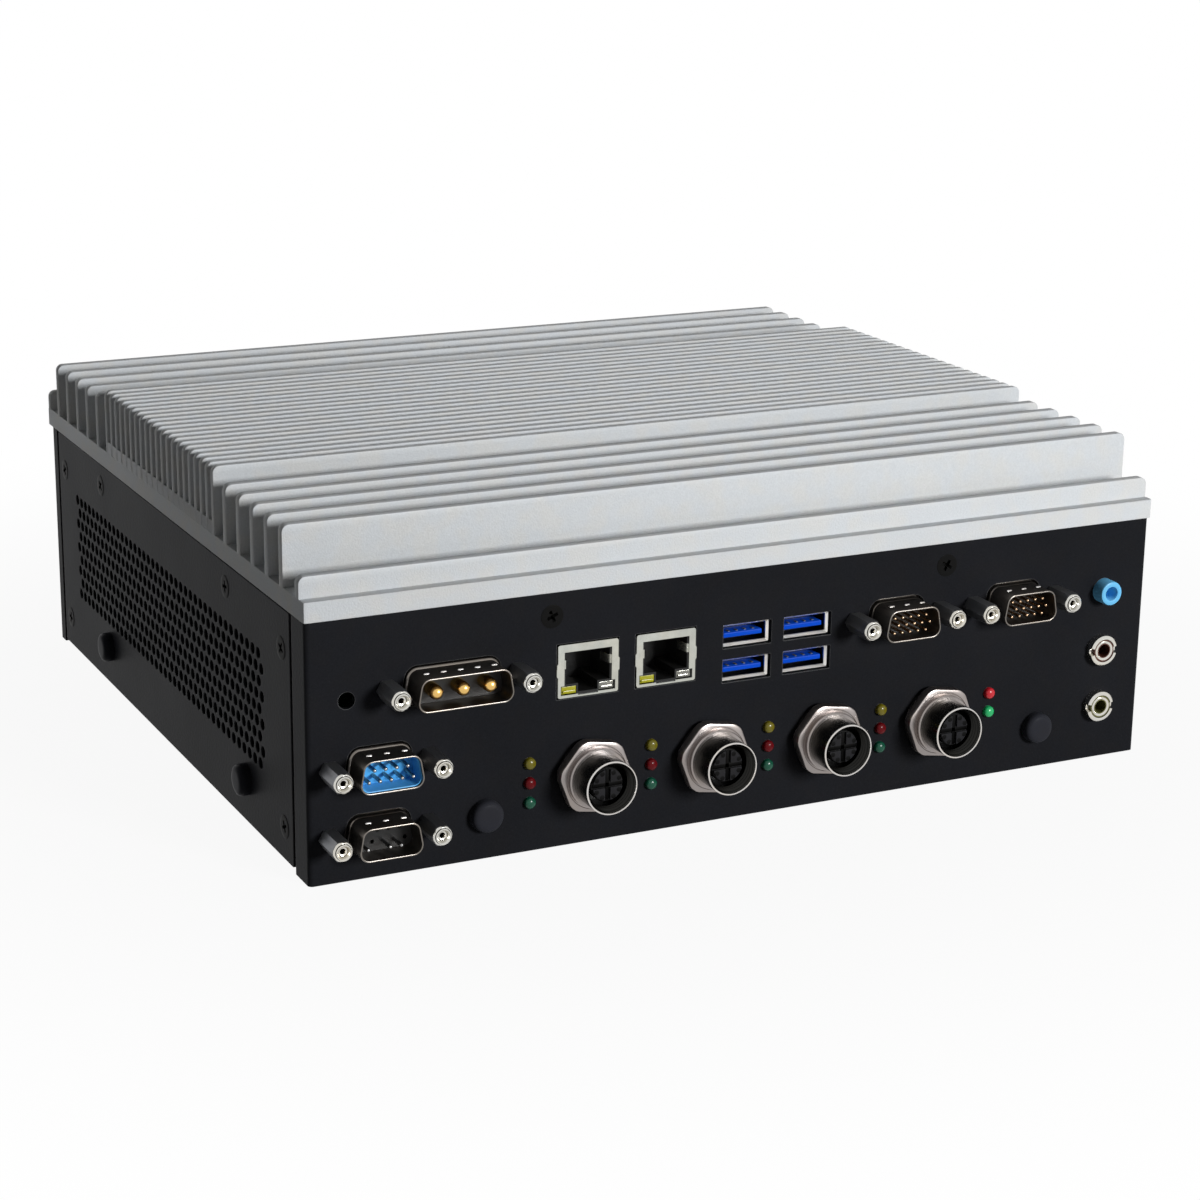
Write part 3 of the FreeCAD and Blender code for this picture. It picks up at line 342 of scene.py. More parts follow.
def plastic(slot: str, colour: Colour, roughness: float, metallic: float = 0.0,
            **more: float) -> Finish:
    """A moulded plastic finish."""
    return Finish(slot, Grain.MOULDED, colour, roughness, metallic, **more)


@dataclass(frozen=True)
class Palette:
    """Every finish of the object."""

    aluminium: Finish = Finish("blasted_aluminium", Grain.BLASTED, (0.585, 0.605, 0.62), 0.5,
                               0.03, drift=0.05, speckle=0.2, relief=0.6, grain_size=0.45,
                               gloss=0.04)
    # The coat carries a painted highlight along its edges.
    coat: Finish = Finish("black_powder_coat", Grain.POWDER, (0.0115, 0.012, 0.0142), 0.4,
                          drift=0.4, speckle=0.5, relief=0.35, grain_size=0.4, soft_edge=0.4,
                          gloss=0.016, edge_light=0.12)
    tray: Finish = replace(coat, soft_edge=0.0, edge_light=0.0)
    screw: Finish = Finish("black_screw", Grain.PLATED, (0.009, 0.009, 0.009), 0.3, gloss=0.01,
                           relief=0.05)
    plug: Finish = plastic("black_plug", (0.024, 0.025, 0.031), 0.38, gloss=0.018)
    gunmetal: Finish = metal("dark_nickel", (0.17, 0.155, 0.14), 0.3, relief=0.02)
    turned: Finish = Finish("dark_nickel", Grain.TURNED, (0.07, 0.07, 0.066), 0.24, 1.0,
                            relief=0.12)
    # Lighter copy of the round sockets' metal: a painted highlight on their rims.
    rim: Finish = metal("dark_nickel", (0.62, 0.6, 0.58), 0.22)
    # Lighter copy of the D shells' metal for their dimples: a painted highlight.
    dimple: Finish = metal("dark_nickel", (0.42, 0.41, 0.4), 0.25)
    # Lighter copy of the round sockets' barrel metal: painted light on the front-facing flange.
    flange: Finish = Finish("dark_nickel", Grain.TURNED, (0.3, 0.272, 0.262), 0.32, 1.0, relief=0.1)
    # Darker copy of the round sockets' metal: painted shade inside their bores.
    bore: Finish = Finish("dark_nickel", Grain.TURNED, (0.02, 0.02, 0.019), 0.3, 1.0, relief=0.12)
    # Darker copy of the nickel: painted shade on the jackscrew bodies; the USB contacts use it too.
    post: Finish = metal("bright_nickel", (0.16, 0.165, 0.175), 0.42, relief=0.06)
    nickel: Finish = metal("bright_nickel", (0.62, 0.61, 0.57), 0.22, relief=0.06)
    nickel_part: Finish = metal("bright_nickel", (0.5, 0.49, 0.46), 0.22, relief=0.06,
                                soft_edge=0.15)
    # Whitened copy of the nickel for the USB shells: a painted highlight on their lips.
    flare: Finish = metal("bright_nickel", (0.85, 0.84, 0.82), 0.3)
    tin: Finish = metal("bright_nickel", (0.47, 0.48, 0.44), 0.24, drift=0.3, speckle=0.3)
    # Near-black copy of the shell nickel: painted shade inside the USB shells.
    inner_shade: Finish = metal("bright_nickel", (0.03, 0.03, 0.03), 0.3)
    # Darker copy of the nickel: painted shade in the jackscrews' grooves and threads.
    groove: Finish = metal("bright_nickel", (0.12, 0.11, 0.09), 0.2, relief=0.1)
    pin: Finish = metal("gold_pin", (0.3, 0.3, 0.3), 0.25)
    black: Finish = plastic("black_plastic", (0.008, 0.008, 0.008), 0.4, gloss=0.25)
    blue: Finish = plastic("blue_plastic", (0.08, 0.4, 0.8), 0.35, gloss=0.2)
    tongue: Finish = plastic("blue_plastic", (0.002, 0.06, 0.5), 0.35, gloss=0.05)
    gold: Finish = metal("gold_pin", (0.75, 0.48, 0.16), 0.22)
    fine_pin: Finish = metal("gold_pin", (0.55, 0.38, 0.24), 0.22)
    yellow: Finish = plastic("yellow_lens", (0.13, 0.11, 0.004), 0.22, relief=0.05, gloss=0.3)
    lime: Finish = plastic("yellow_lens", (0.36, 0.34, 0.012), 0.25, relief=0.05, gloss=0.3)
    clear: Finish = plastic("clear_lens", (0.2, 0.2, 0.18), 0.12, 0.6, relief=0.4, drift=0.5)
    red: Finish = plastic("red_lens", (0.1, 0.002, 0.004), 0.22, relief=0.05, gloss=0.12)
    red_lit: Finish = plastic("red_lens", (0.5, 0.01, 0.02), 0.22, relief=0.05, gloss=0.4)
    green: Finish = plastic("green_lens", (0.002, 0.065, 0.035), 0.22, relief=0.05, gloss=0.3)
    green_lit: Finish = plastic("green_lens", (0.01, 0.4, 0.12), 0.22, relief=0.05, gloss=0.4)
    # Near-black copy of the screen metal: painted shade in the gaps between the carriers' quarters.
    shield: Finish = metal("m12_shield_metal", (0.004, 0.004, 0.004), 0.5, relief=0.1)
    core: Finish = plastic("black_plastic", (0.02, 0.02, 0.022), 0.45, relief=0.15, gloss=0.02)
    # Near-black discs on the carriers' faces where the contact holes are: painted shade.
    hole_shade: Finish = plastic("black_plastic", (0.003, 0.003, 0.003), 0.5, gloss=0.05)
    rubber: Finish = plastic("gasket_rubber", (0.008, 0.008, 0.008), 0.6, gloss=0.2)
    olive: Finish = plastic("audio_green", (0.1, 0.1, 0.03), 0.4, gloss=0.3)
    brown: Finish = plastic("audio_brown", (0.07, 0.02, 0.012), 0.4, gloss=0.3)
    sky: Finish = plastic("audio_blue", (0.15, 0.5, 0.82), 0.35, gloss=0.15)
    # The board's green is painted nearly black: painted shade inside the case, seen through the
    # spare hole.
    board: Finish = Finish("circuit_board", Grain.BOARD, (0.003, 0.03, 0.012), 0.4, gloss=0.3)
    lid: Finish = metal("processor_lid", (0.6, 0.6, 0.6), 0.3, relief=0.1)
    block: Finish = metal("heat_block_metal", (0.6, 0.6, 0.62), 0.35, relief=0.1)
    drive: Finish = Finish("drive_case", Grain.BLASTED, (0.35, 0.35, 0.37), 0.4, 1.0)


PALETTE = Palette()


# Seats, outlines and forms


class Side(Enum):
    """A side of the case, by its rightward and upward directions seen from outside."""

    FRONT = ((1, 0, 0), (0, 0, 1))
    REAR = ((-1, 0, 0), (0, 0, 1))
    LEFT = ((0, -1, 0), (0, 0, 1))
    RIGHT = ((0, 1, 0), (0, 0, 1))
    UNDER = ((-1, 0, 0), (0, 1, 0))
    TOP = ((1, 0, 0), (0, 1, 0))

    def seat(self, origin: Iterable[float], turn: float = 0.0) -> Matrix:
        """A frame in millimetres at a point, its third axis pointing out of this side.

        Args:
            origin: the seat's place in metres.
            turn: rotation about the outward axis, in degrees.

        Returns:
            The matrix that takes local millimetres to the object's frame.
        """
        across, up = (Vector(axis) for axis in self.value)
        basis = Matrix((across, up, across.cross(up))).transposed().to_4x4()
        spin = Matrix.Rotation(math.radians(turn), 4, "Z")
        return Matrix.Translation(Vector(origin)) @ basis @ spin @ Matrix.Scale(MM, 4)


@dataclass(frozen=True)
class Island:
    """The box of one solid inside a node."""

    low: Vector
    high: Vector

    @property
    def centre(self) -> Vector:
        """The middle of the box."""
        return (self.low + self.high) / 2


def solids(node: str) -> list[Island]:
    """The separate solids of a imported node, from left to right.

    Args:
        node: the node's name.

    Returns:
        One box for each solid.
    """
    mesh = bmesh.new()
    mesh.from_mesh(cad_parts[node].data)
    bmesh.ops.remove_doubles(mesh, verts=mesh.verts, dist=1e-6)
    seen: set[int] = set()
    found = []
    mesh.verts.ensure_lookup_table()
    for start in mesh.verts:
        if start.index in seen:
            continue
        seen.add(start.index)
        stack, points = [start], []
        while stack:
            vertex = stack.pop()
            points.append(vertex.co.copy())
            for edge in vertex.link_edges:
                other = edge.other_vert(vertex)
                if other.index not in seen:
                    seen.add(other.index)
                    stack.append(other)
        found.append(Island(Vector(map(min, *points)), Vector(map(max, *points))))
    mesh.free()
    return sorted(found, key=lambda island: tuple(round(c, 5) for c in island.centre))


def rounded(corners: list[Point], radius: float, steps: int = 4) -> list[Point]:
    """A convex outline with its corners rounded.

    Args:
        corners: the outline's corners, anticlockwise.
        radius: the rounding.
        steps: straight pieces in each rounding.

    Returns:
        The points of the rounded outline.
    """
    points = []
    for i, corner in enumerate(corners):
        here = Vector(corner)
        before = (Vector(corners[i - 1]) - here).normalized()
        after = (Vector(corners[(i + 1) % len(corners)]) - here).normalized()
        half = before.angle(after) / 2
        middle = here + (before + after).normalized() * (radius / math.sin(half))
        start = here + before * (radius / math.tan(half)) - middle
        sweep = math.pi - 2 * half
        for k in range(steps + 1):
            points.append(tuple(middle + Matrix.Rotation(sweep * k / steps, 2) @ start))
    return points


def rectangle(half_wide: float, half_tall: float, radius: float, steps: int = 4) -> Outline:
    """An outline maker for a rounded rectangle that can be drawn in by an inset."""
    def outline(inset: float) -> list[Point]:
        """The rectangle's points at an inset."""
        u, v = half_wide - inset, half_tall - inset
        return rounded([(-u, -v), (u, -v), (u, v), (-u, v)], max(radius - inset, 0.02), steps)
    return outline


def circle(radius: float, count: int, start: float = 0.0) -> list[Point]:
    """Points round a circle, from a start angle in degrees."""
    angles = [math.radians(start + 360 * i / count) for i in range(count)]
    return [(radius * math.cos(a), radius * math.sin(a)) for a in angles]


def nut_outline(flats: float, limit: float, turn: float = 0.0, count: int = 48) -> list[Point]:
    """A hexagon whose corners are cut back to a circle, as a nut's chamfer does."""
    points = []
    for i in range(count):
        angle = 360 * i / count
        flat = flats / 2 / math.cos(math.radians(angle % 60 - 30))
        reach = min(flat, limit)
        a = math.radians(angle + turn)
        points.append((reach * math.cos(a), reach * math.sin(a)))
    return points


def at(points: list[Point], out: float) -> Loop:
    """An outline's points at a distance along the seat's outward axis."""
    return [(u, v, out) for u, v in points]


def link(name: str, data: bpy.types.ID) -> bpy.types.Object:
    """Put a new object with this data into the scene."""
    holder = bpy.data.objects.new(name, data)
    bpy.context.scene.collection.objects.link(holder)
    return holder


class Form:
    """A piece in the making: loops of points skinned into one mesh."""

    def __init__(self, name: str) -> None:
        """Start an empty form."""
        self.name = name
        self.mesh = bmesh.new()

    def skin(self, seat: Matrix, loops: list[Loop], first: bool = False, last: bool = True) -> None:
        """Join loops of equal length into a surface.

        Args:
            seat: where the loops lie.
            loops: loops of points, anticlockwise seen from outside, inner end first.
            first: whether the first loop is closed by a face.
            last: whether the last loop is closed by a face.
        """
        rings = [[self.mesh.verts.new(seat @ Vector(point)) for point in loop] for loop in loops]
        for near, far in zip(rings, rings[1:]):
            for i in range(len(near)):
                self.mesh.faces.new((near[i - 1], near[i], far[i], far[i - 1]))
        if first:
            self.mesh.faces.new(reversed(rings[0]))
        if last:
            self.mesh.faces.new(rings[-1])

    def turn(self, seat: Matrix, profile: list[Point], count: int, first: bool = False,
             last: bool = True) -> None:
        """Revolve a profile of (radius, distance out) points about the seat's axis."""
        self.skin(seat, [at(circle(radius, count), out) for radius, out in profile], first, last)

    def slab(self, seat: Matrix, outline: Outline, inner: float, outer: float,
             edge: float = 0.2) -> None:
        """A closed slab with softened edges.

        Args:
            seat: where it lies.
            outline: gives its points at an inset.
            inner: distance out of its hidden face.
            outer: distance out of its outer face.
            edge: radius of its edges.
        """
        steps = ((edge, 0.0), (edge * 0.3, edge * 0.3), (0.0, edge))
        loops = [at(outline(inset), inner + rise) for inset, rise in steps]
        loops += [at(outline(inset), outer - rise) for inset, rise in reversed(steps)]
        self.skin(seat, loops, first=True)

    def plate(self, seat: Matrix, outline: list[Point], holes: list[list[Point]], inner: float,
              outer: float, edge: float) -> None:
        """A flat sheet with holes, filled from a flat curve.

        Args:
            seat: where it lies.
            outline: its edge.
            holes: the edges of its holes.
            inner: distance out of its hidden face.
            outer: distance out of its outer face.
            edge: chamfer of every edge, which the outlines already allow for.
        """
        curve = bpy.data.curves.new(self.name, "CURVE")
        curve.dimensions = "2D"
        curve.fill_mode = "BOTH"
        curve.extrude = (outer - inner) / 2 - edge
        curve.bevel_depth = edge
        curve.bevel_resolution = 0
        for points in [outline] + holes:
            spline = curve.splines.new("POLY")
            spline.points.add(len(points) - 1)
            for target, (u, v) in zip(spline.points, points):
                target.co = (u, v, 0.0, 1.0)
            spline.use_cyclic_u = True
        holder = link(self.name, curve)
        graph = bpy.context.evaluated_depsgraph_get()
        sheet = bpy.data.meshes.new_from_object(holder.evaluated_get(graph))
        bpy.data.objects.remove(holder)
        sheet.transform(seat @ Matrix.Translation((0, 0, (inner + outer) / 2)))
        self.mesh.from_mesh(sheet)
        bpy.data.meshes.remove(sheet)

    def place(self, finish: Finish, replaces: Iterable[str] = (), sharp: float = 32.0) -> None:
        """Turn the form into a piece of the object, riding on its one body.

        Args:
            finish: its surface finish.
            replaces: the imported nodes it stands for.
            sharp: angle in degrees above which an edge stays sharp.
        """
        bmesh.ops.remove_doubles(self.mesh, verts=self.mesh.verts, dist=1e-7)
        mesh = bpy.data.meshes.new(self.name)
        self.mesh.to_mesh(mesh)
        self.mesh.free()
        mesh.polygons.foreach_set("use_smooth", [True] * len(mesh.polygons))
        mesh.set_sharp_from_angle(angle=math.radians(sharp))
        mesh.materials.append(finish.material())
        piece = link(self.name, mesh)
        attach(piece, "root")
        nodes = list(replaces)
        if nodes:
            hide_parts(*nodes)
        stands = ", ".join(nodes) or "no node"
        LOG.info("%s: %d faces, stands for %s", self.name, len(mesh.polygons), stands)


def dress(finish: Finish, *nodes: str) -> None:
    """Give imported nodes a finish."""
    for node in nodes:
        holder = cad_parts[node]
        for slot in holder.material_slots:
            slot.material = finish.material()
        LOG.info("%s: packed shape in %s", node, finish.slot)


# Case


@dataclass
class HeatSink:
    """Finned extrusion that closes the case from above."""

    name: str = "heat_sink"
    base: float = 5.0
    front_lip: float = 0.5
    corner: float = 1.8
    edge: float = 0.25
    crease: float = 0.12
    rib: float = 2.6
    rib_height: float = 5.3
    rib_rear: float = 0.9
    wide_fin: float = 2.6
    wide_pitch: float = 10.1
    wide_height: float = 15.0
    wide_count: int = 5
    first_fin: float = 15.0
    fine_fin: float = 1.9
    fine_pitch: float = 4.6
    fine_height: float = 17.5
    fine_floor: float = 3.2
    fine_count: int = 21
    block_gap: float = 9.1
    rail_drop: float = 10.0
    rail_rise: float = 1.0
    rail_edge: float = 0.3
    rail_corner: float = 0.4
    rail_shy: float = 2.0
    end_rail: Point = (1.5, 8.5)
    front_rail: Point = (53.0, 61.0)
    rear_rail: Point = (45.5, 53.5)
    deck_corner: float = 0.8
    floor_corner: float = 0.3

    def fins(self, depth: float) -> list[Place]:
        """Every fin as (centre behind the front edge, thickness, height above the base)."""
        wide_span = (self.wide_count - 1) * self.wide_pitch
        first_fine = self.first_fin + wide_span + self.block_gap
        last_block = first_fine + (self.fine_count - 1) * self.fine_pitch + self.block_gap
        fins = [(self.front_lip + self.rib * 1.5, self.rib, self.rib_height),
                (depth - self.rib_rear - self.rib / 2, self.rib, self.rib_height)]
        fins += [(start + i * self.wide_pitch, self.wide_fin, self.wide_height)
                 for start in (self.first_fin, last_block) for i in range(self.wide_count)]
        fins += [(first_fine + i * self.fine_pitch, self.fine_fin, self.fine_height)
                 for i in range(self.fine_count)]
        return fins

    def build(self) -> None:
        """Build the extrusion and put it in place of its node."""
        low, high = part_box("heatsink_cover")
        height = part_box("front_panel")[1].z
        half = (high.x - low.x) / 2 / MM
        depth = (high.y - low.y) / MM
        form = Form(self.name)
        face = Side.FRONT.seat((0, low.y, height))
        for centre, thick, rise in self.fins(depth):
            outline = self._fin_outline(half, self.base + rise)
            form.slab(face, outline, -centre - thick / 2, -centre + thick / 2, self.edge)
        deck = Side.TOP.seat((0, (low.y + high.y) / 2, height))
        self._layer(form, deck, rectangle(half, depth / 2, self.deck_corner, 2), 0.0, self.base)
        fine = (self.fine_count - 1) * self.fine_pitch / 2
        shift = self.first_fin + (self.wide_count - 1) * self.wide_pitch + self.block_gap + fine
        floor = Side.TOP.seat((0, low.y + shift * MM, height))
        self._layer(form, floor, rectangle(half, fine, self.floor_corner, 2),
                    self.base - self.crease, self.base + self.fine_floor)
        for y0, y1, reach in self._rails():
            middle = Side.TOP.seat((0, (y0 + y1) / 2, height))
            shape = rectangle(reach / MM, (y1 - y0) / 2 / MM, self.rail_corner, 2)
            form.slab(middle, shape, -self.rail_drop, self.rail_rise, self.rail_edge)
        form.place(PALETTE.aluminium, ["heatsink_cover"])

    def _layer(self, form: Form, seat: Matrix, outline: Outline, low: float, high: float) -> None:
        """A flat layer with a fine crease along its upper edge."""
        c = self.crease
        form.skin(seat, [at(outline(c), low), at(outline(0), low + c), at(outline(0), high - c),
                         at(outline(c), high)], first=True)

    def _fin_outline(self, half: float, top: float) -> Outline:
        """An outline maker for one fin with rounded upper corners."""
        def outline(inset: float) -> list[Point]:
            """The fin's points at an inset."""
            u, v, r = half - inset, top - inset, self.corner - inset
            points = [(-u, self.base - self.crease), (u, self.base - self.crease)]
            points += [(u - r + x, v - r + y) for x, y in circle(r, 24)[:7]]
            points += [(-u + r + x, v - r + y) for x, y in circle(r, 24)[6:13]]
            return points
        return outline

    def _rails(self) -> list[Place]:
        """The rails under the base: front, rear and half length, in metres."""
        front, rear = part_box("front_panel")[0].y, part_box("rear_panel")[1].y
        inner = -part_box("left_side_panel")[1].x
        rails = []
        for ahead, behind, reach in ((self.end_rail, self.end_rail, inner - self.rail_shy * MM),
                                     (self.front_rail, self.rear_rail, inner)):
            rails.append((front + ahead[0] * MM, front + ahead[1] * MM, reach))
            rails.append((rear - behind[1] * MM, rear - behind[0] * MM, reach))
        return rails


@dataclass
class VentPanel:
    """Flat side panel with a field of round holes."""

    side: Side
    node: str
    hole: float = 2.9
    pitch: float = 4.03
    rows: int = 9
    columns: int = 40
    first: float = 31.0
    shift: float = 2.0
    row_low: float = 20.1
    row_top: float = 48.3
    screw_hole: float = 5.5
    edge: float = 0.12
    corner: float = 0.5

    def build(self) -> None:
        """Build the panel and put it in place of its node."""
        low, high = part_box(self.node)
        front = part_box("front_panel")[0].y
        sign = -1 if self.side is Side.LEFT else 1
        outer = low.x if self.side is Side.LEFT else high.x
        seat = self.side.seat((outer, 0, 0))
        ends = sorted((sign * low.y / MM, sign * high.y / MM))
        bottom, top = low.z / MM, high.z / MM
        e = self.edge
        centre = ((ends[0] + ends[1]) / 2, (bottom + top) / 2)
        shape = rectangle((ends[1] - ends[0]) / 2 - e, (top - bottom) / 2 - e, self.corner, 2)
        outline = [(centre[0] + u, centre[1] + v) for u, v in shape(0)]
        holes = []
        step = (self.row_top - self.row_low) / (self.rows - 1)
        for row in range(self.rows):
            for column in range(self.columns):
                deep = self.first + self.shift * ((row + 1) % 2) + column * self.pitch
                place = (sign * (front / MM + deep), self.row_low + row * step)
                holes.append(self._hole(place, self.hole, 14))
        screws = "left_panel_screws" if self.side is Side.LEFT else "right_panel_screws"
        holes += [self._hole((sign * s.centre.y / MM, s.centre.z / MM), self.screw_hole, 20)
                  for s in solids(screws)]
        form = Form(self.node.replace("side", "vented"))
        form.plate(seat, outline, holes, -(high.x - low.x) / MM, 0.0, e)
        form.place(PALETTE.coat, [self.node])

    def _hole(self, place: Point, across: float, count: int) -> list[Point]:
        """The edge of a round hole, with room for the chamfer."""
        return [(place[0] + u, place[1] + v) for u, v in circle(across / 2 + self.edge, count)]


@dataclass
class Screw:
    """Countersunk screws with cross recesses."""

    head: float = 5.9
    neck: float = 3.0
    reach: float = 1.55
    slot: float = 0.42
    depth: float = 1.2
    rise: float = 0.1
    shank_depth: float = 6.0
    countersink: float = 1.4
    turn: float = 37.0
    first_turn: float = 23.0

    def recess(self, scale: float, out: float) -> Loop:
        """The cross recess at a distance out, drawn in by a scale."""
        r, s = self.reach * scale, self.slot * scale
        corners = [(r, -s), (r, s), (s, s), (s, r), (-s, r), (-s, s),
                   (-r, s), (-r, -s), (-s, -s), (-s, -r), (s, -r), (s, -s)]
        points = []
        for i, corner in enumerate(corners):
            after = corners[(i + 1) % 12]
            points += [corner, ((corner[0] + after[0]) / 2, (corner[1] + after[1]) / 2)]
        return at(points, out)

    def add(self, form: Form, seat: Matrix, rise: float) -> None:
        """Add one screw to a form, the rim of its head a little above the seat."""
        neck, head = self.neck / 2, self.head / 2
        profile = [(neck, -self.shank_depth), (neck, -self.countersink), (head, -0.1),
                   (head, rise - 0.03), (head - 0.12, rise), (self.reach + 0.5, rise)]
        loops = [at(circle(radius, 24, -15), out) for radius, out in profile]
        loops += [self.recess(1.0, rise), self.recess(0.86, -0.3), self.recess(0.5, -self.depth)]
        form.skin(seat, loops)

    def build(self) -> None:
        """Build every visible screw, one piece for each node."""
        for node, side in (("front_panel_screws", Side.FRONT), ("rear_panel_screws", Side.REAR),
                           ("left_panel_screws", Side.LEFT), ("right_panel_screws", Side.RIGHT),
                           ("bottom_tray_screws", Side.UNDER)):
            form = Form(node.replace("panel_", "").replace("tray_", ""))
            for number, solid in enumerate(solids(node)):
                spot = solid.centre.copy()
                outward = Vector(side.value[0]).cross(Vector(side.value[1]))
                axis = max(range(3), key=lambda k: abs(outward[k]))
                spot[axis] = (solid.high if outward[axis] > 0 else solid.low)[axis]
                seat = side.seat(spot, self.first_turn + self.turn * number)
                self.add(form, seat, 0.0 if side is Side.UNDER else self.rise)
            form.place(PALETTE.screw, [node])


@dataclass
class HolePlug:
    """Domed plastic plugs in the spare holes."""

    head: float = 8.2
    rise: float = 3.0
    stem: float = 3.1
    stem_depth: float = 2.4
    dome: tuple[Point, ...] = ((0.0, 0.5), (0.12, 0.72), (0.45, 0.88), (1.0, 0.97), (1.8, 1.0))

    def build(self) -> None:
        """Build the plugs, one piece for each node."""
        r, h = self.head / 2, self.rise
        profile = [(self.stem, -self.stem_depth), (self.stem, -0.1), (r, 0.0)]
        profile += [(r - inset, h * share) for inset, share in self.dome] + [(0.6, h - 0.02)]
        for node, side in (("front_hole_plugs", Side.FRONT), ("left_hole_plugs", Side.LEFT),
                           ("right_hole_plugs", Side.RIGHT)):
            form = Form(node.replace("hole_", ""))
            for solid in solids(node):
                spot = solid.centre.copy()
                if side is Side.FRONT:
                    spot.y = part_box("front_panel")[0].y
                else:
                    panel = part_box("left_side_panel" if side is Side.LEFT else "right_side_panel")
                    spot.x = panel[0].x if side is Side.LEFT else panel[1].x
                form.turn(side.seat(spot), profile, 40)
            form.place(PALETTE.plug, [node])


# D-shaped connectors


def front_face() -> float:
    """The front panel's face."""
    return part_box("front_panel")[0].y


def front_seat(centre: Vector) -> Matrix:
    """A seat on the front panel's face, level with a point."""
    return Side.FRONT.seat((centre.x, front_face(), centre.z))


@dataclass
class DConnector:
    """Shell and pins of a D-shaped connector."""

    name: str
    finish: Finish
    pin: float
    dimples: int
    pin_finish: Finish = PALETTE.gold
    flare: float = 0.5
    sleeve: bool = False
    pin_sides: int = 12
    tall: float = 8.36
    slant: float = 10.0
    corner: float = 2.5
    reach: float = 8.5
    wall: float = 0.44
    flange_side: float = 6.95
    flange_height: float = 12.5
    floor: float = 2.5
    tip: float = 7.7
    plate: Point = (-2.3, -1.5)
    roll: tuple[Point, ...] = ((1.0, 0.25), (0.83, 0.45), (0.45, 0.6), (0.1, 0.7), (0.0, 0.9))
    lip: tuple[Point, ...] = ((0.0, 0.2), (0.06, 0.06), (0.16, 0.0))
    point: tuple[Point, ...] = ((1.0, 0.9), (0.86, 0.45), (0.6, 0.15), (0.25, 0.0))
    dimple_out: float = 4.4
    dimple_margin: float = 8.0

    def _outline(self, wide: float, grow: float) -> list[Point]:
        """The D shape's points, its wide side down, grown all round."""
        half = self.tall / 2 + grow
        lean = math.tan(math.radians(self.slant))
        middle = wide / 2 - self.tall / 2 * lean + grow / math.cos(math.radians(self.slant))
        corners = [(-middle - half * lean, -half), (middle + half * lean, -half),
                   (middle - half * lean, half), (-middle + half * lean, half)]
        return rounded(corners, self.corner + grow, 7)

    def build(self) -> None:
        """Build shell and pins, and finish the moulded insert."""
        low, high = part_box(self.name + "_connector_shell")
        centre = (low + high) / 2
        wide = (high.x - low.x) / MM - 2 * self.flange_side
        seat = front_seat(centre)
        r = self.reach
        f, w = self.flare, self.wall
        stations = [(f, self.plate[1])] + [(f * share, out) for share, out in self.roll]
        stations += [(-inset, r - drop) for inset, drop in self.lip]
        stations += [(inset - w, r - drop) for inset, drop in reversed(self.lip)] + [(-w, -2.0)]
        form = Form(self.name + "_shell")
        form.skin(seat, [at(self._outline(wide, grow), out) for grow, out in stations], last=False)
        flange = rectangle(wide / 2 + self.flange_side, self.flange_height / 2, 1.0)
        form.slab(seat, flange, *self.plate)
        form.place(PALETTE.gunmetal, [self.name + "_connector_shell"])
        self._dimples(seat, wide)
        if self.sleeve:
            sleeve = Form(self.name + "_sleeve")
            steps = ((0.02, r - 0.7), (0.25, r - 0.8), (0.25, self.floor - 0.2))
            sleeve.skin(seat, [at(self._outline(wide, -w - thick), out) for thick, out in steps],
                        last=False)
            sleeve.place(self.finish)
        pins = Form(self.name + "_pins")
        p = self.pin / 2
        profile = [(p, self.floor - 0.5)]
        profile += [(p * share, self.tip - p * back) for share, back in self.point]
        for solid in solids(self.name + "_connector_pins"):
            pins.turn(front_seat(solid.centre), profile, self.pin_sides)
        pins.place(self.pin_finish, [self.name + "_connector_pins"])
        dress(self.finish, self.name + "_connector_insert")

    def _dimples(self, seat: Matrix, wide: float) -> None:
        """Press the grounding dimples out of the shell's long sides, in a lighter copy of the
        shell's metal: a painted highlight.
        """
        form = Form(self.name + "_dimples")
        for i in range(self.dimples):
            across = (i - (self.dimples - 1) / 2) * (wide - self.dimple_margin) / (self.dimples - 1)
            for side, flip in ((Side.TOP, 1), (Side.UNDER, -1)):
                spot = side.seat(seat @ Vector((across, flip * self.tall / 2, self.dimple_out)))
                shape = rectangle(0.8, 0.45, 0.2, 3)
                steps = ((0, -0.1), (0.05, 0.08), (0.2, 0.25))
                form.skin(spot, [at(shape(inset), out) for inset, out in steps])
        form.place(PALETTE.dimple)


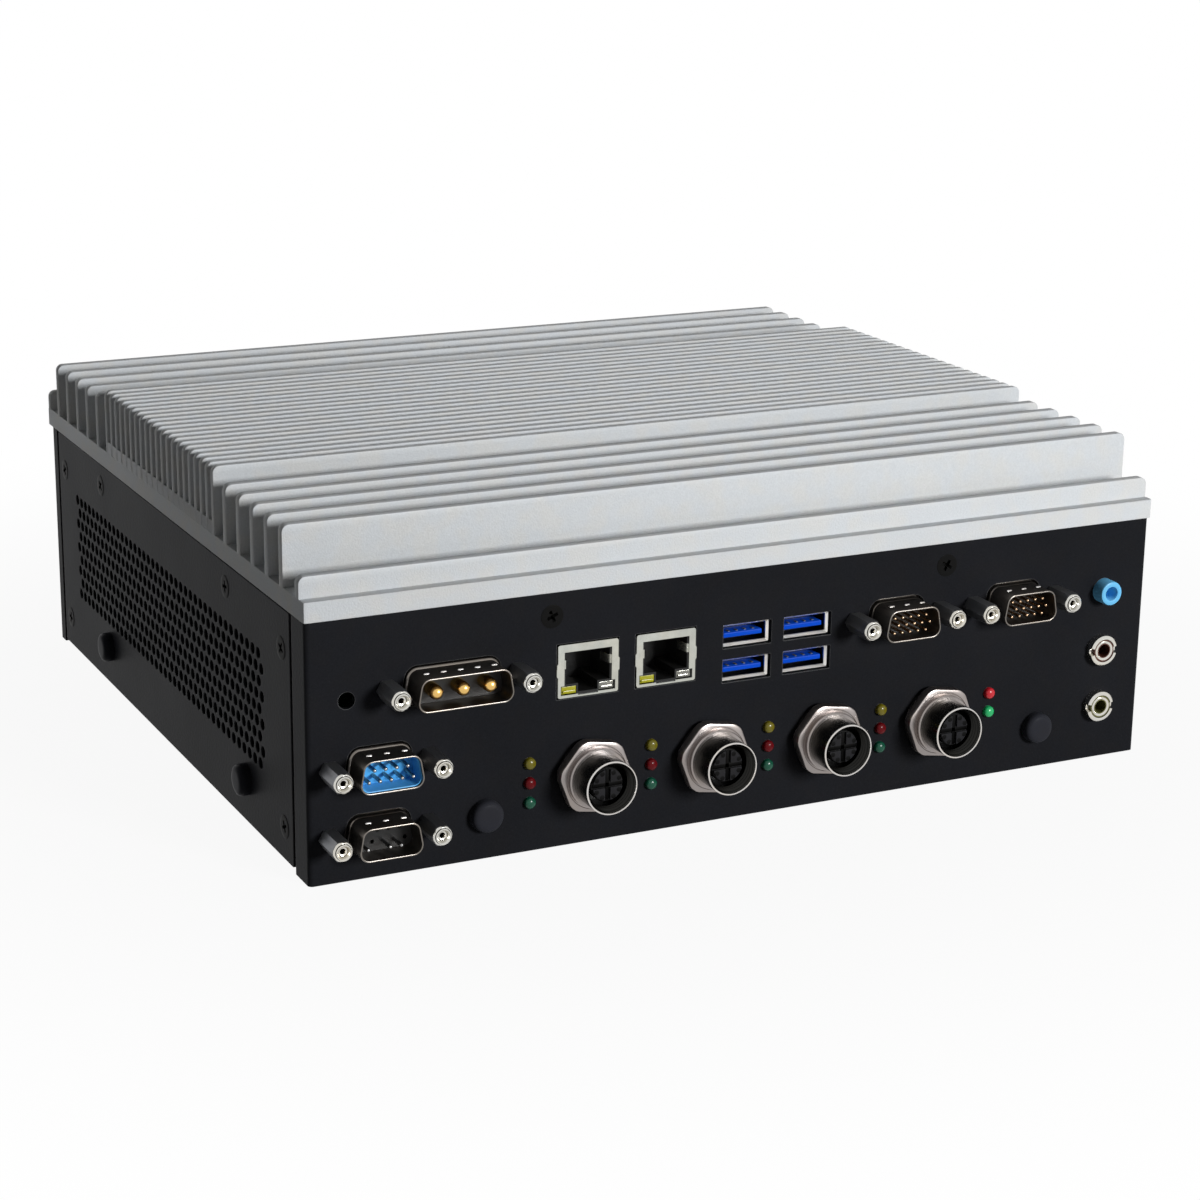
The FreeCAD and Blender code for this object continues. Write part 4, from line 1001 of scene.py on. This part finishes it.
@dataclass
class Jackscrew:
    """Hexagonal posts with tapped ends beside the D-shaped connectors."""

    flats: float = 4.8
    reach: float = 10.0
    bore: float = 1.45
    pitch: float = 0.5
    thread_end: float = 5.0
    corner: float = 2.5
    ring: float = 2.1
    nose: float = 1.98
    count: int = 24

    def build(self) -> None:
        """Build all the posts: the bodies, grooves and threads are darker copies of the ends'
        nickel, painted shade.
        """
        posts, ends, grooves = (Form("jackscrew_" + part) for part in ("posts", "ends", "threads"))
        r, b, count = self.reach, self.bore, self.count
        shoulder = at(nut_outline(self.flats, self.corner, 0, count), r - 0.95)
        floor = (b - 0.7, r - 1.2)
        thread, out = [floor], r - 1.3
        while out > self.thread_end:
            thread += [(b - 0.5, out), (b - 0.7, out - self.pitch / 2)]
            out -= self.pitch
        for solid in solids("connector_jackscrews"):
            seat = front_seat(solid.centre)
            hexagon = nut_outline(self.flats, self.flats, 0, count)
            posts.skin(seat, [at(hexagon, 0.0), at(hexagon, r - 1.3), shoulder],
                       first=True, last=False)
            ends.skin(seat, [shoulder, at(circle(self.ring + 0.2, count), r - 0.6),
                             at(circle(self.ring, count), r - 0.5)], last=False)
            ends.turn(seat, [(self.nose, r - 0.55), (self.nose, r - 0.15), (1.85, r), (1.7, r),
                             (b, r - 0.3), (b - 0.35, r - 1.1), floor], count, last=False)
            grooves.turn(seat, [(self.ring, r - 0.5), (2.05, r - 0.75), (self.nose, r - 0.55)],
                         count, last=False)
            grooves.turn(seat, thread, count)
        posts.place(PALETTE.post, ["connector_jackscrews"])
        ends.place(PALETTE.nickel, sharp=40)
        grooves.place(PALETTE.groove)


# Network jacks and USB ports


@dataclass
class LanJack:
    """Shielded network jack."""

    number: int
    wide: float = 16.2
    tall: float = 13.5
    proud: float = 0.4
    depth: float = 15.6
    open_half: float = 6.3
    open_top: float = 11.5
    notch: float = 2.75
    swell: tuple[Point, ...] = ((0.0, 8.9), (0.3, 8.5), (0.3, 5.7), (0.0, 5.3))
    leaf: tuple[Point, ...] = (
        (6.3, 0.2), (5.8, -0.3), (5.0, -3.4), (4.85, -3.4), (5.5, -0.3), (6.0, 0.3))
    leaf_span: Point = (9.6, 7.4)
    corner: float = 0.5
    ledge_half: float = 7.25
    ledge: float = 3.15
    sill: float = 0.75

    def build(self) -> None:
        """Build the shield with its spring fingers."""
        node = f"lan_jack_{self.number}_shield"
        low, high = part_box(node)
        seat = Side.FRONT.seat(((low.x + high.x) / 2, front_face(), low.z))
        half, e = self.wide / 2, 0.1
        edge = []
        outline = rectangle(half - e, self.tall / 2 - e, self.corner, 3)(0)
        for (u, v), (_, after) in zip(outline, outline[1:] + outline[:1]):
            edge.append((u, v + self.tall / 2))
            if abs(after - v) > self.tall / 2:
                swell = self.swell if after < v else self.swell[::-1]
                edge += [(u + math.copysign(out, u), up) for out, up in swell]
        o, n = self.open_half + e, self.ledge_half + e
        low_edge, gap = self.sill - e, self.notch
        right = [(gap, 0.35), (gap, low_edge), (n, low_edge), (n, self.ledge), (o, self.ledge),
                 (o, self.open_top + e)]
        mouth = [(-u, v) for u, v in reversed(right)] + right
        form = Form(f"lan_shield_{self.number}")
        form.plate(seat, edge, [mouth], -0.1, self.proud, e)
        shape = rectangle(half - 0.05, self.tall / 2 - 0.05, self.corner, 3)
        case = [(u, v + self.tall / 2) for u, v in shape(0)]
        form.skin(seat, [at(case, -self.depth), at(case, 0.1)], first=True, last=False)
        for sign in (-1, 1):
            loops = [[(sign * u, v, out) for u, out in self.leaf[::sign]] for v in self.leaf_span]
            form.skin(seat, loops, first=True)
        form.place(PALETTE.tin, [node])


@dataclass
class LanContacts:
    """Spring wires and light windows of the network jacks."""

    wire: float = 0.36
    window: Point = (4.3, 2.3)
    window_depth: float = 4.5
    rib_height: float = 0.36

    def build(self) -> None:
        """Build the wires and windows, and finish the bodies."""
        form = Form("lan_contacts")
        face = front_face()
        for solid in solids("lan_jack_contacts"):
            top = solid.high.z
            seat = Side.FRONT.seat((solid.centre.x, face, top))
            reach = -(solid.low.y - face) / MM
            back = -(solid.high.y - face) / MM
            path = [(back, -3.9), (back + 1.5, -3.4), (reach - 3.5, -1.9), (reach - 0.4, -0.5),
                    (reach, -0.1)]
            half = self.wire / 2
            corners = ((-half, -half), (half, -half), (half, half), (-half, half))
            loops = [[(u, v + dv, out) for u, dv in corners] for out, v in path]
            form.skin(seat, loops, first=True)
        form.place(PALETTE.gold, ["lan_jack_contacts"])
        dress(PALETTE.black, "lan_jack_bodies")
        w, h = self.window
        window, rib = rectangle(w / 2, h / 2, 0.3, 3), rectangle(w / 2 - 0.4, 0.35, 0.3, 3)
        for node, finish in (("lan_lights_yellow", PALETTE.lime),
                             ("lan_lights_clear", PALETTE.clear)):
            windows = Form(node)
            for solid in solids(node):
                seat = Side.FRONT.seat((solid.centre.x, face, solid.low.z))
                lift = Matrix.Translation((0, h / 2 + 0.1, 0))
                windows.slab(seat @ lift, window, -self.window_depth, -0.1, 0.45)
                lift = Matrix.Translation((0, h * self.rib_height, 0))
                windows.slab(seat @ lift, rib, -0.6, 0.25, 0.2)
            windows.place(finish, [node])


@dataclass
class UsbPorts:
    """Stacked USB ports with blue tongues."""

    wide: float = 13.1
    tall: float = 5.6
    flare: float = 0.6
    lip: float = 1.1
    corner: float = 0.5
    shy: float = 1.0
    cavity: float = 5.6
    neck: float = 6.0
    tongue_drop: float = 0.45
    contact: float = 0.8
    contact_pitch: float = 2.3
    contact_back: float = 1.6
    blade_depth: float = 10.0
    depth: float = 18.0

    def build(self) -> None:
        """Build shells with painted shade inside, tongues and contacts."""
        shells, inner_shades, tongues, contacts = (
            Form("usb_" + part) for part in ("shells", "inner_shades", "tongues", "contacts"))
        face = front_face()
        shape = rectangle(self.wide / 2, self.tall / 2, self.corner, 4)
        s = -self.shy
        for solid in solids("usb_port_tongues"):
            seat = Side.FRONT.seat((solid.centre.x, face, solid.centre.z + self.tongue_drop * MM))
            rim = [(0.0, s - self.neck), (0.0, s - 0.05), (0.05, s), (0.12, s),
                   (self.flare, s - self.flare), (self.flare, s - self.lip)]
            shells.skin(seat, [at(shape(inset), out) for inset, out in rim], last=False)
            # The inside of each shell is painted near black: painted shade.
            inside = shape(self.flare)
            inner_shades.skin(seat, [at(inside, s - self.lip), at(inside, s - self.cavity)])
            middle = Side.FRONT.seat((solid.centre.x, face, solid.centre.z))
            size = solid.high - solid.low
            tip = -(solid.low.y - face) / MM
            blade = rectangle(size.x / 2 / MM, size.z / 2 / MM, 0.3, 3)
            tongues.slab(middle, blade, -self.blade_depth, tip, 0.25)
            for i in range(4):
                across = solid.centre.x + (i - 1.5) * self.contact_pitch * MM
                along = face - (tip - self.contact_back) * MM
                strip = Side.TOP.seat((across, along, solid.high.z))
                contacts.slab(strip, rectangle(self.contact / 2, 0.7, 0.2, 2), -0.1, 0.08, 0.05)
        for solid in solids("usb_port_shells"):
            tall = (solid.high.z - solid.low.z) / 2 / MM
            rear = Side.FRONT.seat((solid.centre.x, face, solid.centre.z))
            block = rectangle(self.wide / 2, tall, self.corner, 3)
            shells.slab(rear, block, -self.depth, s - self.neck, 0.2)
        shells.place(PALETTE.flare, ["usb_port_shells"])
        inner_shades.place(PALETTE.inner_shade)
        tongues.place(PALETTE.tongue, ["usb_port_tongues"])
        contacts.place(PALETTE.post)


# Round sockets, lights and audio jacks


@dataclass
class RoundSocket:
    """Threaded round socket with a screened contact carrier."""

    number: int
    reach: float = 12.3
    barrel: float = 6.8
    bore: float = 6.0
    collar: float = 7.75
    flats: float = 18.0
    turn: float = 51.0
    hex_back: float = 0.8
    hex_face: float = 3.8
    collar_face: float = 5.3
    thread_end: float = 8.5
    pitch: float = 1.0
    thread: float = 0.42
    wall: float = 0.42
    corner: float = 9.75
    chamfer: float = 0.45
    bore_end: float = 2.6
    sharp: float = 28.0

    def build(self) -> None:
        """Build flange, barrel, bore and rim of one socket."""
        node = f"m12_socket_{self.number}_housing"
        low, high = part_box(node)
        seat = front_seat((low + high) / 2)
        b, r, c = self.barrel, self.reach, self.chamfer
        # The flange is a lighter copy of the barrel's metal: painted light.
        flange = Form(f"round_socket_flange_{self.number}")
        face, k = self.hex_face, self.collar
        steps = ((c, self.hex_back), (0, self.hex_back + c), (0, face - c),
                 (c * 0.35, face - c * 0.3), (c, face))
        loops = [at(nut_outline(self.flats - 2 * inset, self.corner - inset, self.turn, 72), out)
                 for inset, out in steps]
        collar = [(k + 0.45, face), (k + 0.3, face - 0.12), (k, face - 0.12),
                  (k, self.collar_face - 0.3), (k - 0.3, self.collar_face),
                  (b - 0.1, self.collar_face)]
        loops += [at(circle(radius, 72, self.turn), out) for radius, out in collar]
        flange.skin(seat, loops, first=True, last=False)
        flange.place(PALETTE.flange, sharp=self.sharp)
        form = Form(f"round_socket_barrel_{self.number}")
        form.turn(seat, [(b, self.hex_back), (b, r - 0.5)], 64, last=False)
        form.place(PALETTE.turned, [node], self.sharp)
        # The bore is a darker copy of the socket's metal: painted shade.
        inner = Form(f"round_socket_bore_{self.number}")
        crest, root, w = self.bore - self.thread, self.bore, self.wall
        profile, out = [(b - w, r - 0.1), (root, r - 0.6)], r - 0.8
        while out > self.thread_end:
            profile += [(root, out), (crest, out - self.pitch * 0.45),
                        (crest, out - self.pitch * 0.6)]
            out -= self.pitch
        profile += [(root - 0.1, out), (root - 0.1, self.bore_end)]
        inner.turn(seat, profile, 64, last=False)
        inner.place(PALETTE.bore, sharp=self.sharp)
        # The rim is a lighter copy of the socket's metal: a painted highlight.
        rim = Form(f"round_socket_rim_{self.number}")
        rim.turn(seat, [(b, r - 0.5), (b, r - 0.15), (b - 0.12, r), (b - 0.36, r),
                        (b - w, r - 0.1)], 64, last=False)
        rim.place(PALETTE.rim)


@dataclass
class ContactCarriers:
    """Contact carriers of the round sockets: four quarters between the arms of a screen."""

    radius: float = 4.3
    face: float = 9.8
    ring_end: float = 2.7
    socket: float = 6.0
    quarter: float = 4.0
    arm: float = 0.7
    contacts: tuple[Point, ...] = ((1.5, 3.0), (3.0, 1.5))
    hole: float = 0.62
    edge: float = 0.08

    def build(self) -> None:
        """Build carriers, screens and near-black discs for the contact holes, painted shade."""
        carriers, quarters = Form("contact_carriers"), Form("contact_quarters")
        screens, holes = Form("contact_screens"), Form("contact_holes")
        f, r, g = self.face, self.radius, self.socket
        # The contact holes are near-black discs on the face, not holes: painted shade.
        hole_shade = [(self.hole, -0.2), (self.hole, 0.03), (self.hole - 0.08, 0.05)]
        long, slim = r - 0.3, self.arm - 0.15
        for solid in solids("m12_socket_inserts"):
            seat = front_seat(solid.centre)
            back = -(solid.high.y - front_face()) / MM
            carriers.turn(seat, [(g - 0.2, back), (g, back + 0.2), (g, self.ring_end),
                                 (r, self.ring_end), (r, f - 0.9), (r - 0.2, f - 0.7)],
                          40, first=True)
            for turn in range(0, 360, 90):
                turned = seat @ Matrix.Rotation(math.radians(turn), 4, "Z")
                quarters.slab(turned, self._quarter, f - 0.8, f, self.edge)
                for u, v in self.contacts:
                    holes.turn(Side.FRONT.seat(turned @ Vector((u, v, f))), hole_shade, 14)
            # The screen's arms sit below the quarters and are painted near black: painted shade in
            # the gaps.
            for wide, tall in ((long, slim), (slim, long)):
                screens.slab(seat, rectangle(wide, tall, 0.1, 1), f - 1.5, f - 0.5, self.edge)
        carriers.place(PALETTE.black, ["m12_socket_inserts"])
        quarters.place(PALETTE.core)
        screens.place(PALETTE.shield, ["m12_socket_shields"])
        holes.place(PALETTE.hole_shade)

    def _quarter(self, inset: float) -> list[Point]:
        """A quarter of a disc, clear of the screen's arms."""
        near, reach = self.arm + inset, self.quarter - inset
        start = math.degrees(math.asin(near / reach))
        arc = [math.radians(start + (90 - 2 * start) * i / 8) for i in range(9)]
        rim = [(reach * math.cos(a), reach * math.sin(a)) for a in arc]
        return rounded([(near, near)] + rim, 0.12, 2)


@dataclass
class StatusLights:
    """Domed light pipes in the front panel."""

    radius: float = 1.5
    rise: float = 1.6
    depth: float = 2.0
    dome: tuple[Point, ...] = ((1.0, 0.35), (0.94, 0.62), (0.76, 0.82), (0.45, 0.96), (0.15, 1.0))

    def build(self) -> None:
        """Build the lights: the last column is lit, the others are not."""
        profile = [(self.radius, -self.depth)]
        profile += [(self.radius * wide, self.rise * high) for wide, high in self.dome]
        last = max(solid.centre.x for solid in solids("status_lights_red"))
        for colour, dark, lit in (("yellow", PALETTE.yellow, PALETTE.yellow),
                                  ("red", PALETTE.red, PALETTE.red_lit),
                                  ("green", PALETTE.green, PALETTE.green_lit)):
            node = "status_lights_" + colour
            for name, finish, is_lit in (("lights_", dark, False), ("lit_light_", lit, True)):
                group = [f for f in solids(node) if (f.centre.x >= last - MM) == is_lit]
                if group:
                    form = Form(name + colour)
                    for solid in group:
                        form.turn(front_seat(solid.centre), profile, 24)
                    form.place(finish, [node] if finish is dark else [])


@dataclass
class AudioJacks:
    """Three audio jacks in a column."""

    barrel: float = 3.25
    reach: float = 4.0
    bore: float = 1.75
    nut: float = 4.1
    nut_face: float = 2.5
    slot: float = 1.5
    slot_depth: float = 1.2
    thread: float = 3.1
    bore_depth: float = 7.0
    block_half: float = 4.5
    block_back: float = 12.0
    block_face: float = 1.5

    def build(self) -> None:
        """Build the plain blue jack and the two with slotted nuts."""
        low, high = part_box("audio_jack_top")
        seat = front_seat((low + high) / 2)
        b, r = self.barrel, self.reach
        form = Form("audio_blue_jack")
        form.turn(seat, [(b, -2.0), (b, r - 0.5), (b - 0.15, r - 0.15), (b - 0.5, r),
                         (self.bore + 0.5, r), (self.bore + 0.15, r - 0.1),
                         (self.bore, r - 0.4), (self.bore, -self.bore_depth)], 40)
        block = rectangle(self.block_half, self.block_half, 0.5)
        form.slab(seat, block, -self.block_back, -self.block_face)
        form.place(PALETTE.sky, ["audio_jack_top"])
        nuts = Form("audio_nuts")
        for solid in solids("audio_jack_nuts"):
            self._nut(nuts, front_seat(solid.centre))
        nuts.place(PALETTE.nickel, ["audio_jack_nuts"])
        dress(PALETTE.brown, "audio_jack_middle")
        dress(PALETTE.olive, "audio_jack_bottom")

    def _nut(self, form: Form, seat: Matrix) -> None:
        """Add one slotted nut and the metal end of the barrel in it."""
        f, n, t = self.nut_face, self.nut, self.thread
        bottom, bore = f - self.slot_depth, self.bore + 0.12
        steps = ((n, 0.0), (n, f - 0.3), (n - 0.3, f), (t + 0.15, f), (t + 0.02, f - 0.12),
                 (t + 0.02, 0.4))
        loops = [[(u, v, bottom if abs(v) < self.slot / 2 and out > bottom else out)
                  for u, v in circle(radius, 48)] for radius, out in steps]
        form.skin(seat, loops, last=False)
        form.turn(seat, [(t - 0.35, 0.3), (t - 0.35, f - 0.35), (t - 0.5, f - 0.15),
                         (self.bore + 0.45, f - 0.15), (bore, f - 0.4), (bore, f - 1.6)], 40,
                  last=False)


# Studio


@dataclass(frozen=True)
class Lamp:
    """A soft square lamp aimed at the object."""

    name: str
    place: Place
    size: float
    power: float
    tint: Colour = (1.0, 1.0, 1.0)
    aim: Place = (0.0, 0.0, 0.04)

    def build(self) -> None:
        """Hang the lamp."""
        light = bpy.data.lights.new(self.name, "AREA")
        light.size = self.size
        light.energy = self.power
        light.color = self.tint
        holder = link(self.name, light)
        holder.location = self.place
        aim = Vector(self.aim) - Vector(self.place)
        holder.rotation_euler = aim.to_track_quat("-Z", "Y").to_euler()


@dataclass
class Studio:
    """Camera, floor, lamps and surroundings."""

    spot: Place = (-0.32627, -0.68716, 0.25571)
    azimuth: float = 26.052
    drop: float = 16.555
    roll: float = 0.719
    lens: float = 84.2
    shift: float = -0.0077
    ambient: float = 0.012
    lamps: tuple[Lamp, ...] = (
        Lamp("key_lamp", (0.75, -1.9, 0.57), 0.5, 43.0, (0.98, 0.99, 1.0)),
        Lamp("top_lamp", (0.2, 1.4, 1.8), 1.0, 3.0),
        Lamp("rear_lamp", (-0.6, 2.0, 0.5), 1.0, 4.0),
    )
    floor_colour: Colour = (0.62, 0.61, 0.6)
    floor_half: float = 20.0
    floor_glow: float = 0.93
    shadow_reach: Point = (0.12, 0.35)

    def build(self) -> None:
        """Set the stage."""
        self._camera()
        for lamp in self.lamps:
            lamp.build()
        self._floor()
        self._world()
        bpy.context.scene.view_settings.view_transform = "Standard"

    def _camera(self) -> None:
        """Place the camera at the viewing angle."""
        az, el, roll = (math.radians(a) for a in (self.azimuth, self.drop, self.roll))
        ahead = Vector((math.sin(az) * math.cos(el), math.cos(az) * math.cos(el), -math.sin(el)))
        level = Vector((math.cos(az), -math.sin(az), 0))
        right = math.cos(roll) * level + math.sin(roll) * level.cross(ahead)
        basis = Matrix((right, right.cross(ahead), -ahead)).transposed().to_4x4()
        data = bpy.data.cameras.new("camera")
        data.lens = self.lens
        data.shift_y = self.shift
        data.clip_start = 0.01
        camera = link("camera", data)
        camera.matrix_world = Matrix.Translation(Vector(self.spot)) @ basis
        bpy.context.scene.camera = camera

    def _floor(self) -> None:
        """Lay a pale floor that is white to the eye away from the object."""
        mesh = bmesh.new()
        bmesh.ops.create_grid(mesh, x_segments=8, y_segments=8, size=self.floor_half)
        data = bpy.data.meshes.new("floor")
        mesh.to_mesh(data)
        mesh.free()
        graph = Graph(bpy.data.materials.new("floor"))
        seen = self._seen(graph)
        settings = {"operation": "LENGTH"}
        away = graph.wire("ShaderNodeVectorMath", settings, {0: graph.place}, "Value")
        white = graph.add("ShaderNodeEmission", None, {"Color": (1, 1, 1, 1), "Strength": 1.0})
        plain = graph.add("ShaderNodeBsdfDiffuse", None, {"Color": (*self.floor_colour, 1.0)})
        share = seen * (self.floor_glow + away.band(*self.shadow_reach) * (1.0 - self.floor_glow))
        mix = graph.add("ShaderNodeMixShader", None, {
            0: share, 1: Wire(graph, plain.outputs[0]), 2: Wire(graph, white.outputs[0])})
        data.materials.append(graph.finish(mix))
        floor = link("floor", data)

    def _seen(self, graph: Graph) -> Wire:
        """1 for rays from the camera, mirrors and glass, 0 for the light on the object."""
        path = graph.add("ShaderNodeLightPath")
        rays = [Wire(graph, path.outputs[name]) for name in
                ("Is Camera Ray", "Is Glossy Ray", "Is Transmission Ray")]
        total = rays[0] + rays[1] + rays[2]
        return graph.wire("ShaderNodeMath", {"operation": "MINIMUM"}, {0: total, 1: 1.0})

    def _world(self) -> None:
        """Plain surroundings: white to the eye, an even grey light on the object."""
        graph = Graph(bpy.data.worlds.new("studio"))
        strength = self.ambient + self._seen(graph) * (1.0 - self.ambient)
        bpy.context.scene.world = graph.finish(graph.add("ShaderNodeBackground", None, {
            "Color": (1, 1, 1, 1), "Strength": strength}))


# The whole object


def dress_inside() -> None:
    """Finish what shows through the vents and from below."""
    dress(PALETTE.coat, "front_panel", "rear_panel")
    dress(PALETTE.tray, "bottom_tray")
    dress(PALETTE.nickel_part, "bracket_nuts", "board_standoffs", "m12_socket_nuts")
    dress(PALETTE.board, "main_board", "port_board")
    dress(PALETTE.rubber, "m12_socket_gaskets")
    dress(PALETTE.lid, "processor")
    dress(PALETTE.block, "heat_block")
    dress(PALETTE.drive, "storage_drive")


def main() -> None:
    """Build every piece."""
    logging.basicConfig(level=logging.INFO, format="%(name)s: %(message)s")
    Studio().build()
    HeatSink().build()
    VentPanel(Side.LEFT, "left_side_panel").build()
    VentPanel(Side.RIGHT, "right_side_panel").build()
    Screw().build()
    HolePlug().build()
    DConnector("power", PALETTE.black, 3.5, 5, pin_sides=20).build()
    DConnector("serial", PALETTE.blue, 1.0, 3, PALETTE.pin, sleeve=True).build()
    DConnector("bus", PALETTE.black, 1.0, 3, PALETTE.pin, 0.25).build()
    DConnector("io_1", PALETTE.black, 0.76, 3, PALETTE.fine_pin, 0.2).build()
    DConnector("io_2", PALETTE.black, 0.76, 3, PALETTE.fine_pin, 0.2).build()
    Jackscrew().build()
    for number in (1, 2):
        LanJack(number).build()
    LanContacts().build()
    UsbPorts().build()
    for number in range(1, 5):
        RoundSocket(number).build()
    ContactCarriers().build()
    StatusLights().build()
    AudioJacks().build()
    dress_inside()


if __name__ == "__main__":
    main()
